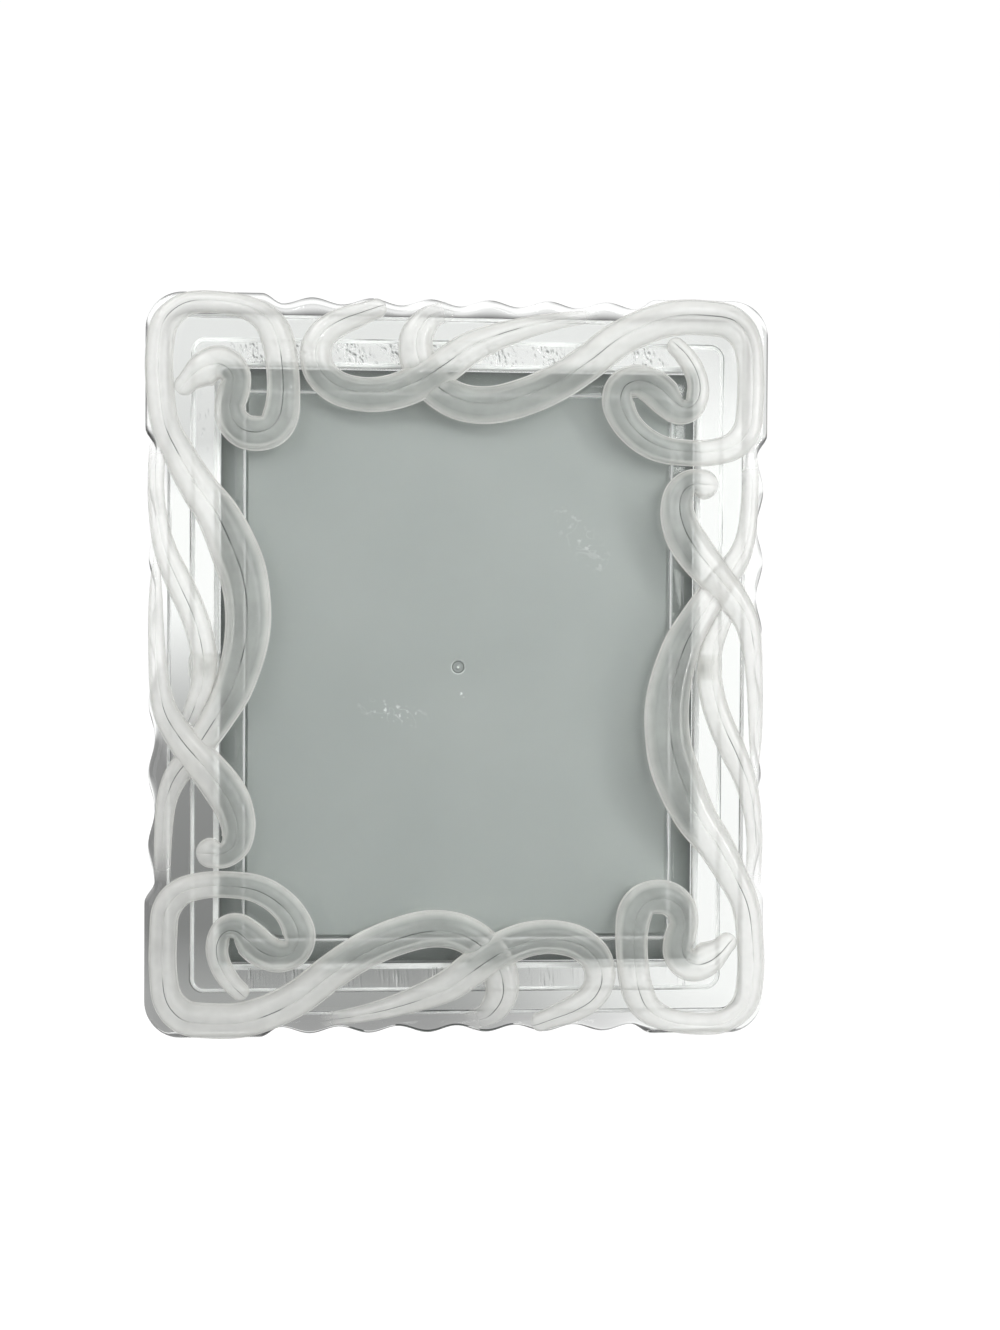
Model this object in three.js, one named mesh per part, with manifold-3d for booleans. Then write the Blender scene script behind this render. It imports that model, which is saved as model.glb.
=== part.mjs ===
// A standing acrylic photo frame for one print: a clear moulded front with frosted scrollwork laid on it,
// a clear rear frame, a window pane, a grey back panel held by two turn buttons, and an easel leg on a
// hinge pin. The pieces are laid out on the face, with x to the right, y up the face and z out of the front,
// from the middle of the face and the plane of its back. The face then leans back and stands on the ground.

import * as THREE from "three";
import { mergeVertices } from "three/addons/utils/BufferGeometryUtils.js";
import Module from "manifold-3d";

// Driving dimensions, in millimetres and degrees

// The print and the rings round it
const PRINT_WIDTH = 203.2;
const PRINT_HEIGHT = 254;
const PRINT_CLEARANCE = 0.9; // from the print's edge to the pocket wall
const RIM_WIDTH = 31.5; // from the pocket wall to the outer edge
const LIP_OVERLAP = 11.2; // how far the front frame stands over the pocket
const LAND_WIDTH = 12; // the cemented band round the pocket
const SKIRT_WIDTH = 9.5; // the wall outside the rear frame
const APERTURE_RADIUS = 2;
const POCKET_RADIUS = 2.5;
const LAND_RADIUS = 6;
const SKIRT_RADIUS = 9;

// The scalloped outer rim
const CORNER_RADIUS = 16;
const CORNER_BLOCK_WIDTH = 58; // along the short sides
const CORNER_BLOCK_HEIGHT = 67; // along the long sides
const CORNER_BLOCK_SLOPE = 8.6; // along the side, from the block's full width down to the first scallop
const SCALLOPS_PER_SIDE = 6;
const SCALLOP_CREST_INSET = 1.5;
const SCALLOP_DEPTH = 2.8;
const SCALLOP_POINTS = 6; // points along each scallop
const RIM_ROUND = 3; // the radius of the rim's front edge

// Thicknesses from the back to the front
const FACE_THICKNESS = 4;
const REAR_BASE_THICKNESS = 4.5;
const PANE_THICKNESS = 2;
const PRINT_GAP = 0.6; // room for the print and its card
const PANEL_WALL = 2.5;
const FIELD_RISE = 2.4; // how far the panel's middle stands forward of its flange
const SEAT_GAP = 0.3; // between pieces that rest on each other
const SIDE_GAP = 0.4; // round the pane, the panel and the rear frame

// The scrollwork
const DRAWN_LENGTH = 1; // millimetres on the face for each unit of the strands' drawn points
const RISE_PER_WIDTH = 0.5; // a strand is half as high as it is wide
const BRIDGE_LIFT = 3.6; // the underside where one strand passes over another
const BRIDGE_HEIGHT = 2.6; // how much higher the strand stands there
const STEPS_PER_SPAN = 3; // sections from one drawn point to the next
const TURN_SHARE = 0.96; // of its turning radius, which a strand's inner side may fill

// The back panel
const FIELD_MARGIN = 0.8; // from the aperture's edge to the raised field
const FIELD_RADIUS = 3;
const GATE_RADIUS = 3;
const GATE_DEPTH = 0.8;
const PANEL_RIB = 2.2;
const PANEL_POCKET_COLUMNS = 4;
const PANEL_POCKET_ROWS = 5;

// The easel
const LEAN = 15; // the face from upright
const LEG_OPENING = 26; // the leg from the back panel
const HINGE_HEIGHT = 38; // above the middle of the face
const HINGE_BACK = 4.6; // the pin's axis behind the panel
const PIN_RADIUS = 1.5;
const PIN_PROUD = 1; // past each lug
const KNUCKLE_RADIUS = 4;
const LUG_WIDTH = 6;
const HINGE_BOSS_HEIGHT = 16; // the solid patch under the lugs
const LEG_TOP_WIDTH = 36;
const LEG_FOOT_WIDTH = 58;
const LEG_NECK = 8; // how far below the hinge the leg starts to widen
const LEG_TAPER = 50; // how far below the hinge it reaches its full width
const LEG_THICKNESS = 3;
const LEG_RIB_WIDTH = 2.5;
const LEG_RIB_RISE = 2;
const FOOT_TRIM = 1.6; // how much of the lowest edge is cut flat to the ground

// The turn buttons and their screws
const BUTTON_WIDTH = 11;
const BUTTON_CORNER = 2.8;
const BUTTON_THICKNESS = 2.2;
const BUTTON_CATCH = 4.6; // how far the button reaches over the panel
const BUTTON_TAIL = 7.4; // from the screw to the outer end
const SCREW_RADIUS = 1.5;
const SCREW_HEAD_RADIUS = 3.2;
const SCREW_HEAD_HEIGHT = 1.8;
const SCREW_HEAD_FLAT = 0.6; // the flat of the head, as a share of its radius
const SCREW_HEAD_SHOULDER = 0.92; // the radius where its edge starts to round over
const SCREW_DEPTH = 4; // into the rear frame
const BORE_GAP = 0.3; // round a pin or a screw

// How curves are stepped and solids are cut
const ROUND_SIDES = 20; // round a bar
const ARC_STEPS = 5; // round a corner
const ROUND_OVER_STEPS = 3; // over a rounded edge
const PAST = 5; // how far a cutter reaches past what it cuts
const SAME_POINT = 1e-4; // points closer than this are one

// Sizes that follow

const pocket = {
  width: PRINT_WIDTH + 2 * PRINT_CLEARANCE,
  height: PRINT_HEIGHT + 2 * PRINT_CLEARANCE,
};
const outer = around(pocket, RIM_WIDTH);
const aperture = around(pocket, -LIP_OVERLAP);
const land = around(pocket, LAND_WIDTH);
const skirt = around(outer, -SKIRT_WIDTH);

const fieldFront = PANEL_WALL + FIELD_RISE;
const paneBack = fieldFront + PRINT_GAP;
const paneFront = paneBack + PANE_THICKNESS;
const faceBack = paneFront + SEAT_GAP;
const faceFront = faceBack + FACE_THICKNESS;
const strandBase = faceFront + SEAT_GAP;

const lean = THREE.MathUtils.degToRad(LEAN);
const legOpening = THREE.MathUtils.degToRad(LEG_OPENING);
const ground = FOOT_TRIM - (outer.height / 2) * Math.cos(lean);
const lugInside = LEG_TOP_WIDTH / 2 + SEAT_GAP;
const lugOutside = lugInside + LUG_WIDTH;

/** A rectangle's size grown by a margin on every side. */
function around(size, margin) {
  return { width: size.width + 2 * margin, height: size.height + 2 * margin };
}

// Solids

const wasm = await Module();
wasm.setup();

/** A closed geometry as a solid that can be cut and joined. */
function solidOf(geometry) {
  const bare = geometry.clone();
  bare.deleteAttribute("normal");
  bare.deleteAttribute("uv");
  const merged = mergeVertices(bare, SAME_POINT);
  const vertProperties = new Float32Array(merged.attributes.position.array);
  const triVerts = new Uint32Array(merged.index.array);
  return new wasm.Manifold(new wasm.Mesh({ numProp: 3, vertProperties, triVerts }));
}

/** A solid as a geometry. */
function geometryOf(solid) {
  const { vertProperties, triVerts } = solid.getMesh();
  const geometry = new THREE.BufferGeometry();
  geometry.setAttribute("position", new THREE.BufferAttribute(vertProperties, 3));
  geometry.setIndex(new THREE.BufferAttribute(triVerts, 1));
  geometry.computeVertexNormals();
  return geometry;
}

/** A rounded rectangle about the middle of the face. */
function roundedRectangle({ width, height }, radius) {
  const x = width / 2;
  const y = height / 2;
  const shape = new THREE.Shape();
  shape.moveTo(-x + radius, -y);
  shape.absarc(x - radius, -y + radius, radius, -Math.PI / 2, 0);
  shape.absarc(x - radius, y - radius, radius, 0, Math.PI / 2);
  shape.absarc(-x + radius, y - radius, radius, Math.PI / 2, Math.PI);
  shape.absarc(-x + radius, -y + radius, radius, Math.PI, 1.5 * Math.PI);
  return shape;
}

/** A shape extruded from one height to another. */
function slab(shape, from, to) {
  const options = { depth: to - from, bevelEnabled: false, curveSegments: ARC_STEPS };
  return new THREE.ExtrudeGeometry(shape, options).translate(0, 0, from);
}

/** A shape extruded from one height to another, with its upper edge rounded over. */
function roundedSlab(shape, from, to, radius) {
  const rounded = new THREE.ExtrudeGeometry(shape, {
    depth: to - from,
    bevelThickness: radius,
    bevelSize: radius,
    bevelOffset: -radius,
    bevelSegments: ROUND_OVER_STEPS,
    curveSegments: ARC_STEPS,
  });
  const below = new THREE.BoxGeometry(2 * outer.width, 2 * outer.height, 2 * (radius + PAST));
  return solidOf(rounded.translate(0, 0, from - radius))
    .subtract(solidOf(below.translate(0, 0, from - radius - PAST)));
}

/** A round bar along z from one height to another. */
function bar(radius, from, to) {
  return new THREE.CylinderGeometry(radius, radius, to - from, ROUND_SIDES)
    .rotateX(Math.PI / 2)
    .translate(0, 0, (from + to) / 2);
}

/** A round bar along x about the origin. */
function crossBar(radius, length) {
  return new THREE.CylinderGeometry(radius, radius, length, ROUND_SIDES).rotateZ(Math.PI / 2);
}

/** A block of the given size with its lowest corner at a point. */
function block(x, y, z, width, height, depth) {
  return new THREE.BoxGeometry(width, height, depth)
    .translate(x + width / 2, y + height / 2, z + depth / 2);
}

/** Everything under the ground, as seen by pieces that are placed by the given matrix. */
function underground(matrix) {
  const reach = outer.height;
  return new THREE.BoxGeometry(2 * reach, 2 * reach, reach)
    .translate(0, 0, ground - reach / 2)
    .applyMatrix4(matrix.clone().invert());
}

// Materials and meshes

const FINISHES = {
  clear: { color: 0xe9eeec, roughness: 0.08, metalness: 0, transparent: true, opacity: 0.35 },
  frosted: { color: 0xdfe4e2, roughness: 0.5, metalness: 0, transparent: true, opacity: 0.85 },
  grey: { color: 0xa5acaa, roughness: 0.55, metalness: 0 },
  nylon: { color: 0xe9eae6, roughness: 0.5, metalness: 0 },
  steel: { color: 0xb9bcc0, roughness: 0.3, metalness: 1 },
};

/** A named piece with its own material. */
function piece(name, geometry, finish) {
  const mesh = new THREE.Mesh(geometry, new THREE.MeshStandardMaterial(FINISHES[finish]));
  mesh.name = name;
  return mesh;
}

const face = new THREE.Group();
face.rotation.x = Math.PI / 2 - lean;
face.updateMatrixWorld();

const leg = new THREE.Group();
leg.position.set(0, HINGE_HEIGHT, -HINGE_BACK);
leg.rotation.x = legOpening;
face.add(leg);
leg.updateMatrixWorld();

// The front frame

/** The rim along one side: pairs of a distance from the side's middle and an inset from the outer edge. */
function rimSide(length, cornerBlock) {
  const straight = length - 2 * cornerBlock;
  const count = SCALLOPS_PER_SIDE * SCALLOP_POINTS;
  const blockEnd = straight / 2 + CORNER_BLOCK_SLOPE;
  const points = [[-blockEnd, 0]];
  for (let i = 0; i <= count; i += 1) {
    const wave = 1 + Math.cos((2 * Math.PI * i) / SCALLOP_POINTS);
    points.push([straight * (i / count - 0.5), SCALLOP_CREST_INSET + (SCALLOP_DEPTH / 2) * wave]);
  }
  points.push([blockEnd, 0]);
  return points;
}

/** The scalloped outline of the front frame, with round corners. */
function scallopedOutline() {
  const { width, height } = outer;
  const x = width / 2;
  const y = height / 2;
  const r = CORNER_RADIUS;
  const across = rimSide(width, CORNER_BLOCK_WIDTH);
  const along = rimSide(height, CORNER_BLOCK_HEIGHT);
  const shape = new THREE.Shape();
  shape.moveTo(-x + r, -y);
  across.forEach(([d, inset]) => shape.lineTo(d, -y + inset));
  shape.absarc(x - r, -y + r, r, -Math.PI / 2, 0);
  along.forEach(([d, inset]) => shape.lineTo(x - inset, d));
  shape.absarc(x - r, y - r, r, 0, Math.PI / 2);
  across.forEach(([d, inset]) => shape.lineTo(-d, y - inset));
  shape.absarc(-x + r, y - r, r, Math.PI / 2, Math.PI);
  along.forEach(([d, inset]) => shape.lineTo(-x + inset, -d));
  shape.absarc(-x + r, -y + r, r, Math.PI, 1.5 * Math.PI);
  return shape;
}

/** The clear face with its lip and skirt, cut flat where it stands. */
function frontFrame() {
  const body = roundedSlab(scallopedOutline(), 0, faceFront, RIM_ROUND);
  const room = slab(roundedRectangle(skirt, SKIRT_RADIUS), -PAST, faceBack);
  const window = slab(roundedRectangle(aperture, APERTURE_RADIUS), -PAST, faceFront + PAST);
  return geometryOf(
    body
      .subtract(solidOf(room))
      .subtract(solidOf(window))
      .subtract(solidOf(underground(face.matrixWorld))),
  );
}

// The rear frame

const buttonPivot = pocket.width / 2 + LAND_WIDTH / 2;

/** The clear ring in the skirt: a base, the cemented land, the pocket and the two screw holes. */
function rearFrame() {
  const edge = around(skirt, -SIDE_GAP);
  const base = slab(roundedRectangle(edge, SKIRT_RADIUS - SIDE_GAP), 0, REAR_BASE_THICKNESS);
  const raised = slab(roundedRectangle(land, LAND_RADIUS), 0, paneFront);
  const hollow = slab(roundedRectangle(pocket, POCKET_RADIUS), -PAST, paneFront + PAST);
  const hole = bar(SCREW_RADIUS + BORE_GAP, -PAST, SCREW_DEPTH + BORE_GAP);
  return geometryOf(
    solidOf(base)
      .add(solidOf(raised))
      .subtract(solidOf(hollow))
      .subtract(solidOf(hole.clone().translate(-buttonPivot, 0, 0)))
      .subtract(solidOf(hole.clone().translate(buttonPivot, 0, 0))),
  );
}

// The pane and the back panel

const panel = around(pocket, -SIDE_GAP);
const field = around(aperture, -FIELD_MARGIN);

/** The clear sheet in front of the print. */
function windowPane() {
  return slab(roundedRectangle(panel, POCKET_RADIUS), paneBack, paneFront);
}

/** One hinge lug, an upright plate with a round end about the pin. */
function hingeLug(inside) {
  const stem = block(inside, -KNUCKLE_RADIUS, 0, LUG_WIDTH, 2 * KNUCKLE_RADIUS, HINGE_BACK + PANEL_WALL);
  const eye = crossBar(KNUCKLE_RADIUS, LUG_WIDTH).translate(inside + LUG_WIDTH / 2, 0, 0);
  return solidOf(stem).add(solidOf(eye)).translate([0, HINGE_HEIGHT, -HINGE_BACK]);
}

/** The hollows behind the raised field, in rows and columns between ribs. */
function panelPockets() {
  const pitchX = (field.width - PANEL_RIB) / PANEL_POCKET_COLUMNS;
  const pitchY = (field.height - PANEL_RIB) / PANEL_POCKET_ROWS;
  const pockets = [];
  for (let column = 0; column < PANEL_POCKET_COLUMNS; column += 1) {
    for (let row = 0; row < PANEL_POCKET_ROWS; row += 1) {
      const x = -field.width / 2 + PANEL_RIB + column * pitchX;
      const y = -field.height / 2 + PANEL_RIB + row * pitchY;
      const width = pitchX - PANEL_RIB;
      const height = pitchY - PANEL_RIB;
      pockets.push(block(x, y, -PAST, width, height, FIELD_RISE + PAST));
    }
  }
  return pockets;
}

/** The grey panel: a flange, a raised field with its gate mark, ribs behind it, and the hinge lugs. */
function backPanel() {
  let body = solidOf(slab(roundedRectangle(panel, POCKET_RADIUS), 0, PANEL_WALL));
  body = body.add(solidOf(slab(roundedRectangle(field, FIELD_RADIUS), 0, fieldFront)));
  for (const hollow of panelPockets()) {
    body = body.subtract(solidOf(hollow));
  }
  const bossLow = HINGE_HEIGHT - HINGE_BOSS_HEIGHT / 2;
  const boss = block(-lugOutside, bossLow, 0, 2 * lugOutside, HINGE_BOSS_HEIGHT, PANEL_WALL);
  const gate = bar(GATE_RADIUS, fieldFront - GATE_DEPTH, fieldFront + PAST);
  const pinHole = crossBar(PIN_RADIUS + BORE_GAP, 2 * lugOutside + 2 * PAST);
  return geometryOf(
    body
      .add(solidOf(boss))
      .add(hingeLug(lugInside))
      .add(hingeLug(-lugOutside))
      .subtract(solidOf(gate))
      .subtract(solidOf(pinHole.translate(0, HINGE_HEIGHT, -HINGE_BACK))),
  );
}

// The easel leg and its pin, about the pin's axis, with the foot towards -y

/** The length of the leg from its pin to the ground, down its middle. */
function legReach() {
  const drop = HINGE_HEIGHT * Math.cos(lean) - HINGE_BACK * Math.sin(lean) - ground;
  return drop / Math.cos(legOpening - lean);
}

/** The leg: a tapered plate with a knuckle, two ribs, and a heel that stops it against the panel. */
function easelLeg() {
  const half = LEG_THICKNESS / 2;
  const heel = (HINGE_BACK - SEAT_GAP - half * Math.cos(legOpening)) / Math.sin(legOpening);
  const foot = -legReach() - PAST;
  const top = LEG_TOP_WIDTH / 2;
  const wide = LEG_FOOT_WIDTH / 2;
  const outline = new THREE.Shape();
  outline.moveTo(-wide, foot);
  outline.lineTo(wide, foot);
  outline.lineTo(wide, -LEG_TAPER);
  outline.lineTo(top, -LEG_NECK);
  outline.lineTo(top, heel);
  outline.lineTo(-top, heel);
  outline.lineTo(-top, -LEG_NECK);
  outline.lineTo(-wide, -LEG_TAPER);
  const ribLength = -LEG_TAPER - foot;
  const ribDepth = half + LEG_RIB_RISE;
  const ribLeft = block(-wide, foot, -ribDepth, LEG_RIB_WIDTH, ribLength, ribDepth);
  const ribRight = block(wide - LEG_RIB_WIDTH, foot, -ribDepth, LEG_RIB_WIDTH, ribLength, ribDepth);
  return geometryOf(
    solidOf(slab(outline, -half, half))
      .add(solidOf(ribLeft))
      .add(solidOf(ribRight))
      .add(solidOf(crossBar(KNUCKLE_RADIUS, LEG_TOP_WIDTH)))
      .subtract(solidOf(crossBar(PIN_RADIUS + BORE_GAP, LEG_TOP_WIDTH + 2 * PAST)))
      .subtract(solidOf(underground(leg.matrixWorld))),
  );
}

/** The hinge pin, through both lugs and the leg. */
function hingePin() {
  return crossBar(PIN_RADIUS, 2 * (lugOutside + PIN_PROUD)).translate(0, HINGE_HEIGHT, -HINGE_BACK);
}

// The turn buttons and their screws, with the left one as drawn

const buttonReach = buttonPivot - panel.width / 2 + BUTTON_CATCH;
const buttonBack = -SEAT_GAP - BUTTON_THICKNESS;

/** A turn button about its screw, pointing along +x. */
function turnButton() {
  const half = BUTTON_WIDTH / 2;
  const tail = BUTTON_CORNER - BUTTON_TAIL;
  const outline = new THREE.Shape();
  outline.moveTo(tail, -half);
  outline.absarc(buttonReach - half, 0, half, -Math.PI / 2, Math.PI / 2);
  outline.absarc(tail, half - BUTTON_CORNER, BUTTON_CORNER, Math.PI / 2, Math.PI);
  outline.absarc(tail, BUTTON_CORNER - half, BUTTON_CORNER, Math.PI, 1.5 * Math.PI);
  const hole = bar(SCREW_RADIUS + BORE_GAP, buttonBack - PAST, PAST);
  return geometryOf(solidOf(slab(outline, buttonBack, -SEAT_GAP)).subtract(solidOf(hole)));
}

/** A pan-headed screw along z, with its head behind the button. */
function turnScrew() {
  const under = buttonBack - SEAT_GAP;
  const profile = [
    new THREE.Vector2(0, under - SCREW_HEAD_HEIGHT),
    new THREE.Vector2(SCREW_HEAD_FLAT * SCREW_HEAD_RADIUS, under - SCREW_HEAD_HEIGHT),
    new THREE.Vector2(SCREW_HEAD_SHOULDER * SCREW_HEAD_RADIUS, under - SCREW_HEAD_HEIGHT / 2),
    new THREE.Vector2(SCREW_HEAD_RADIUS, under),
    new THREE.Vector2(SCREW_RADIUS, under),
    new THREE.Vector2(SCREW_RADIUS, SCREW_DEPTH - SCREW_RADIUS),
    new THREE.Vector2(0, SCREW_DEPTH),
  ];
  return new THREE.LatheGeometry(profile, ROUND_SIDES).rotateX(Math.PI / 2);
}

// The scrollwork

// A strand's section from edge to edge: two soft lobes with a crease between them. The first number runs
// across it, from -1 to 1, and the second up it, from 0 to 1.
const SECTION = [
  [-1, 0],
  [-0.97, 0.45],
  [-0.78, 0.85],
  [-0.42, 1],
  [0, 0.86],
  [0.42, 1],
  [0.78, 0.85],
  [0.97, 0.45],
  [1, 0],
];

// How a strand's end closes: how far past its last point, and its size there, as shares of half its width
const END_CAP = [
  [0.55, 0.82],
  [0.92, 0.42],
];

/** A point by a corner of the face: left and low or high, by its distance from both outer edges. */
function cornerPoint(high) {
  return (fromLeft, fromEnd, width) => ({
    x: DRAWN_LENGTH * fromLeft - outer.width / 2,
    y: high * (outer.height / 2 - DRAWN_LENGTH * fromEnd),
    width: DRAWN_LENGTH * width,
    lift: 0,
  });
}

/** A point on the left side, by its distance from the outer edge and its share of the half height. */
function leftPoint(fromEdge, share, width, lift = 0) {
  return {
    x: DRAWN_LENGTH * fromEdge - outer.width / 2,
    y: share * (outer.height / 2),
    width: DRAWN_LENGTH * width,
    lift,
  };
}

/** A point on the top (1) or bottom (-1) side, by its distance from that edge and share of the half width. */
function endPoint(high) {
  return (fromEdge, share, width, lift = 0) => ({
    x: share * (outer.width / 2),
    y: high * (outer.height / 2 - DRAWN_LENGTH * fromEdge),
    width: DRAWN_LENGTH * width,
    lift,
  });
}

const topLeft = cornerPoint(1);
const bottomLeft = cornerPoint(-1);
const top = endPoint(1);
const bottom = endPoint(-1);

// The top left scroll: from its curl, round its eye and the corner, and down the left side
const SCROLL_TOP_LEFT = [
  topLeft(16.8, 40.2, 9),
  topLeft(20.8, 36.4, 13.6),
  topLeft(25.8, 33.2, 17),
  topLeft(31, 32, 18.2),
  topLeft(34.7, 33.2, 17.6),
  topLeft(37.1, 36.2, 16.2),
  topLeft(37.7, 40, 14.8),
  topLeft(37.1, 44.2, 13.8),
  topLeft(36.1, 49, 13.8),
  topLeft(37.4, 55, 14.6),
  topLeft(41.8, 59.2, 15),
  topLeft(47.7, 60.2, 15.2),
  topLeft(53.4, 58.4, 15.6),
  topLeft(57, 53.6, 16),
  topLeft(58.4, 46, 15.2),
  topLeft(58.2, 33.5, 14),
  topLeft(56.2, 21, 14.6),
  topLeft(52, 12.4, 13.6),
  topLeft(44, 7.4, 11.4),
  topLeft(31.8, 5, 9.6),
  topLeft(17.6, 6, 10.8),
  topLeft(8.8, 13.4, 12),
  topLeft(6.2, 26.7, 12),
  topLeft(6.6, 41.7, 12),
  topLeft(8.8, 56.8, 12.6),
  leftPoint(14.6, 0.565, 14.6),
  leftPoint(22.6, 0.478, 16.8),
  leftPoint(30.8, 0.406, 19.4),
  leftPoint(37.4, 0.32, 21.2),
  leftPoint(42, 0.239, 21),
  leftPoint(43.8, 0.159, 19.8),
  leftPoint(43.6, 0.089, 19.6),
  leftPoint(41.3, 0.013, 18.6),
  leftPoint(37, -0.067, 17),
  leftPoint(31.4, -0.129, 15.6),
  leftPoint(25.8, -0.185, 14.4),
  leftPoint(19.8, -0.242, 13.2),
  leftPoint(13.3, -0.298, 11.4),
  leftPoint(9.8, -0.358, 9.4),
  leftPoint(8.4, -0.444, 8),
  leftPoint(8, -0.524, 7.4),
  leftPoint(8, -0.556, 7),
];

// The bottom left scroll: from its curl, round its eye and the corner, and along the bottom
const SCROLL_BOTTOM_LEFT = [
  bottomLeft(41, 20.6, 8.2),
  bottomLeft(37.2, 24.4, 9.2),
  bottomLeft(33, 31, 9.4),
  bottomLeft(31.2, 37.4, 9.8),
  bottomLeft(31.8, 42.8, 10.6),
  bottomLeft(34.8, 46.8, 13),
  bottomLeft(39.4, 47.2, 14.8),
  bottomLeft(44.4, 43.6, 15.8),
  bottomLeft(50, 38.8, 16),
  bottomLeft(57.2, 36.2, 15.6),
  bottomLeft(63.6, 38.4, 15.2),
  bottomLeft(65.9, 44.6, 15),
  bottomLeft(63.2, 52.4, 13.8),
  bottomLeft(57, 59.4, 12.8),
  bottomLeft(48.2, 64.4, 12.4),
  bottomLeft(37.4, 66.2, 11.6),
  bottomLeft(25.4, 66, 11.6),
  bottomLeft(15.4, 63, 12.4),
  bottomLeft(9.8, 56, 12.6),
  bottomLeft(8.4, 44, 12),
  bottomLeft(8.4, 29.4, 12.2),
  bottomLeft(10.6, 17, 14.4),
  bottomLeft(17, 10, 15.2),
  bottomLeft(29.2, 8, 15.4),
  bottomLeft(42.1, 8.4, 15.4),
  bottom(11.6, -0.603, 15.4),
  bottom(18.1, -0.506, 15.6),
  bottom(28, -0.41, 15.8),
  bottom(36.6, -0.313, 16.2),
  bottom(43.4, -0.2, 16.4),
  bottom(46.9, -0.087, 16.4),
  bottom(45.2, 0.01, 16.2),
  bottom(38.3, 0.09, 15.8),
  bottom(28.8, 0.135, 15.4),
  bottom(18.6, 0.142, 15.2),
  bottom(10.6, 0.104, 13),
  bottom(7.4, 0.052, 9),
];

// The top tendril: from the rim, over the tail of the top right scroll, and round into its hook
const TENDRIL_TOP = [
  top(8.2, 0.423, 6),
  top(10.3, 0.316, 8),
  top(13.8, 0.203, 10.6),
  top(18.1, 0.106, 13, 0.1),
  top(23.2, 0.026, 14.8, 0.8),
  top(31, -0.055, 15.6, 1),
  top(37.8, -0.135, 16, 0.8),
  top(42.1, -0.223, 15.6, 0.1),
  top(43, -0.313, 15),
  top(40, -0.397, 14.6),
  top(33.5, -0.448, 14.2),
  top(24.5, -0.461, 13.8),
  top(17.2, -0.435, 13),
  top(12, -0.377, 12),
  top(9, -0.319, 10.8),
  top(6.4, -0.268, 8.6),
];

// The left tendril: from the rim, over the strand and the scroll's tail, and round into its hook
const TENDRIL_LEFT = [
  leftPoint(5.6, 0.3, 3.2),
  leftPoint(5, 0.25, 4.8),
  leftPoint(4.9, 0.19, 6.2),
  leftPoint(5, 0.112, 7),
  leftPoint(5.6, 0.027, 8),
  leftPoint(6.8, -0.054, 9.8, 0.1),
  leftPoint(9.8, -0.126, 12, 0.8),
  leftPoint(15.9, -0.188, 14.6, 1),
  leftPoint(23.7, -0.247, 16.2, 1),
  leftPoint(32, -0.312, 17.6, 0.4),
  leftPoint(37.6, -0.371, 17.4),
  leftPoint(40, -0.43, 15.6),
  leftPoint(38.6, -0.474, 14),
  leftPoint(34, -0.497, 13.6),
  leftPoint(28.6, -0.497, 13.6),
];

// The left strand: from the rim, between it and the scroll's tail, to the crossing
const STRAND_LEFT = [
  leftPoint(5.4, 0.58, 7),
  leftPoint(5, 0.52, 7),
  leftPoint(5, 0.457, 7.4),
  leftPoint(6.2, 0.385, 8.8),
  leftPoint(9.2, 0.305, 10.6),
  leftPoint(14.4, 0.228, 12),
  leftPoint(19.4, 0.161, 11.8),
  leftPoint(23.4, 0.089, 11.4),
  leftPoint(25.4, 0.013, 11.2),
  leftPoint(24.5, -0.054, 10.4),
  leftPoint(21.1, -0.116, 9.4),
  leftPoint(18.1, -0.159, 8.6),
];

/** The same strand turned half round the middle of the face. */
function halfTurn(points) {
  return points.map(({ x, y, width, lift }) => ({ x: -x, y: -y, width, lift }));
}

/** How far a strand may reach to its left and right between two cuts before it would fold inside its turn. */
function turnRoom(from, to) {
  const turn = Math.atan2(from.heading.cross(to.heading), from.heading.dot(to.heading));
  const room = (TURN_SHARE * from.middle.distanceTo(to.middle)) / Math.abs(turn);
  return turn > 0 ? { left: room, right: Infinity } : { left: Infinity, right: room };
}

/** Where a strand is cut across: its middle, direction, reach to each side, underside and height. */
function stations(points) {
  const widths = points.map(({ x, y, width }) => new THREE.Vector3(x, y, width));
  const lifts = points.map(({ x, y, lift }) => new THREE.Vector3(x, y, lift));
  const path = new THREE.CatmullRomCurve3(widths, false, "centripetal");
  const rise = new THREE.CatmullRomCurve3(lifts, false, "centripetal");
  const count = STEPS_PER_SPAN * (points.length - 1);
  const list = [];
  for (let i = 0; i <= count; i += 1) {
    const middle = path.getPoint(i / count);
    const heading = path.getTangent(i / count);
    const lift = THREE.MathUtils.clamp(rise.getPoint(i / count).z, 0, 1);
    list.push({
      middle: new THREE.Vector2(middle.x, middle.y),
      heading: new THREE.Vector2(heading.x, heading.y).normalize(),
      half: middle.z / 2,
      left: middle.z / 2,
      right: middle.z / 2,
      under: BRIDGE_LIFT * lift,
      crown: RISE_PER_WIDTH * middle.z + BRIDGE_HEIGHT * lift,
    });
  }
  for (let i = 0; i < count; i += 1) {
    const room = turnRoom(list[i], list[i + 1]);
    for (const cut of [list[i], list[i + 1]]) {
      cut.left = Math.min(cut.left, room.left);
      cut.right = Math.min(cut.right, room.right);
    }
  }
  return list;
}

/** A station moved past the end of a strand and drawn in, for its rounded end. */
function endStation(last, direction, [past, share]) {
  return {
    ...last,
    middle: last.middle.clone().addScaledVector(last.heading, direction * past * last.half),
    left: share * last.left,
    right: share * last.right,
    crown: last.under + share * (last.crown - last.under),
  };
}

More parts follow.
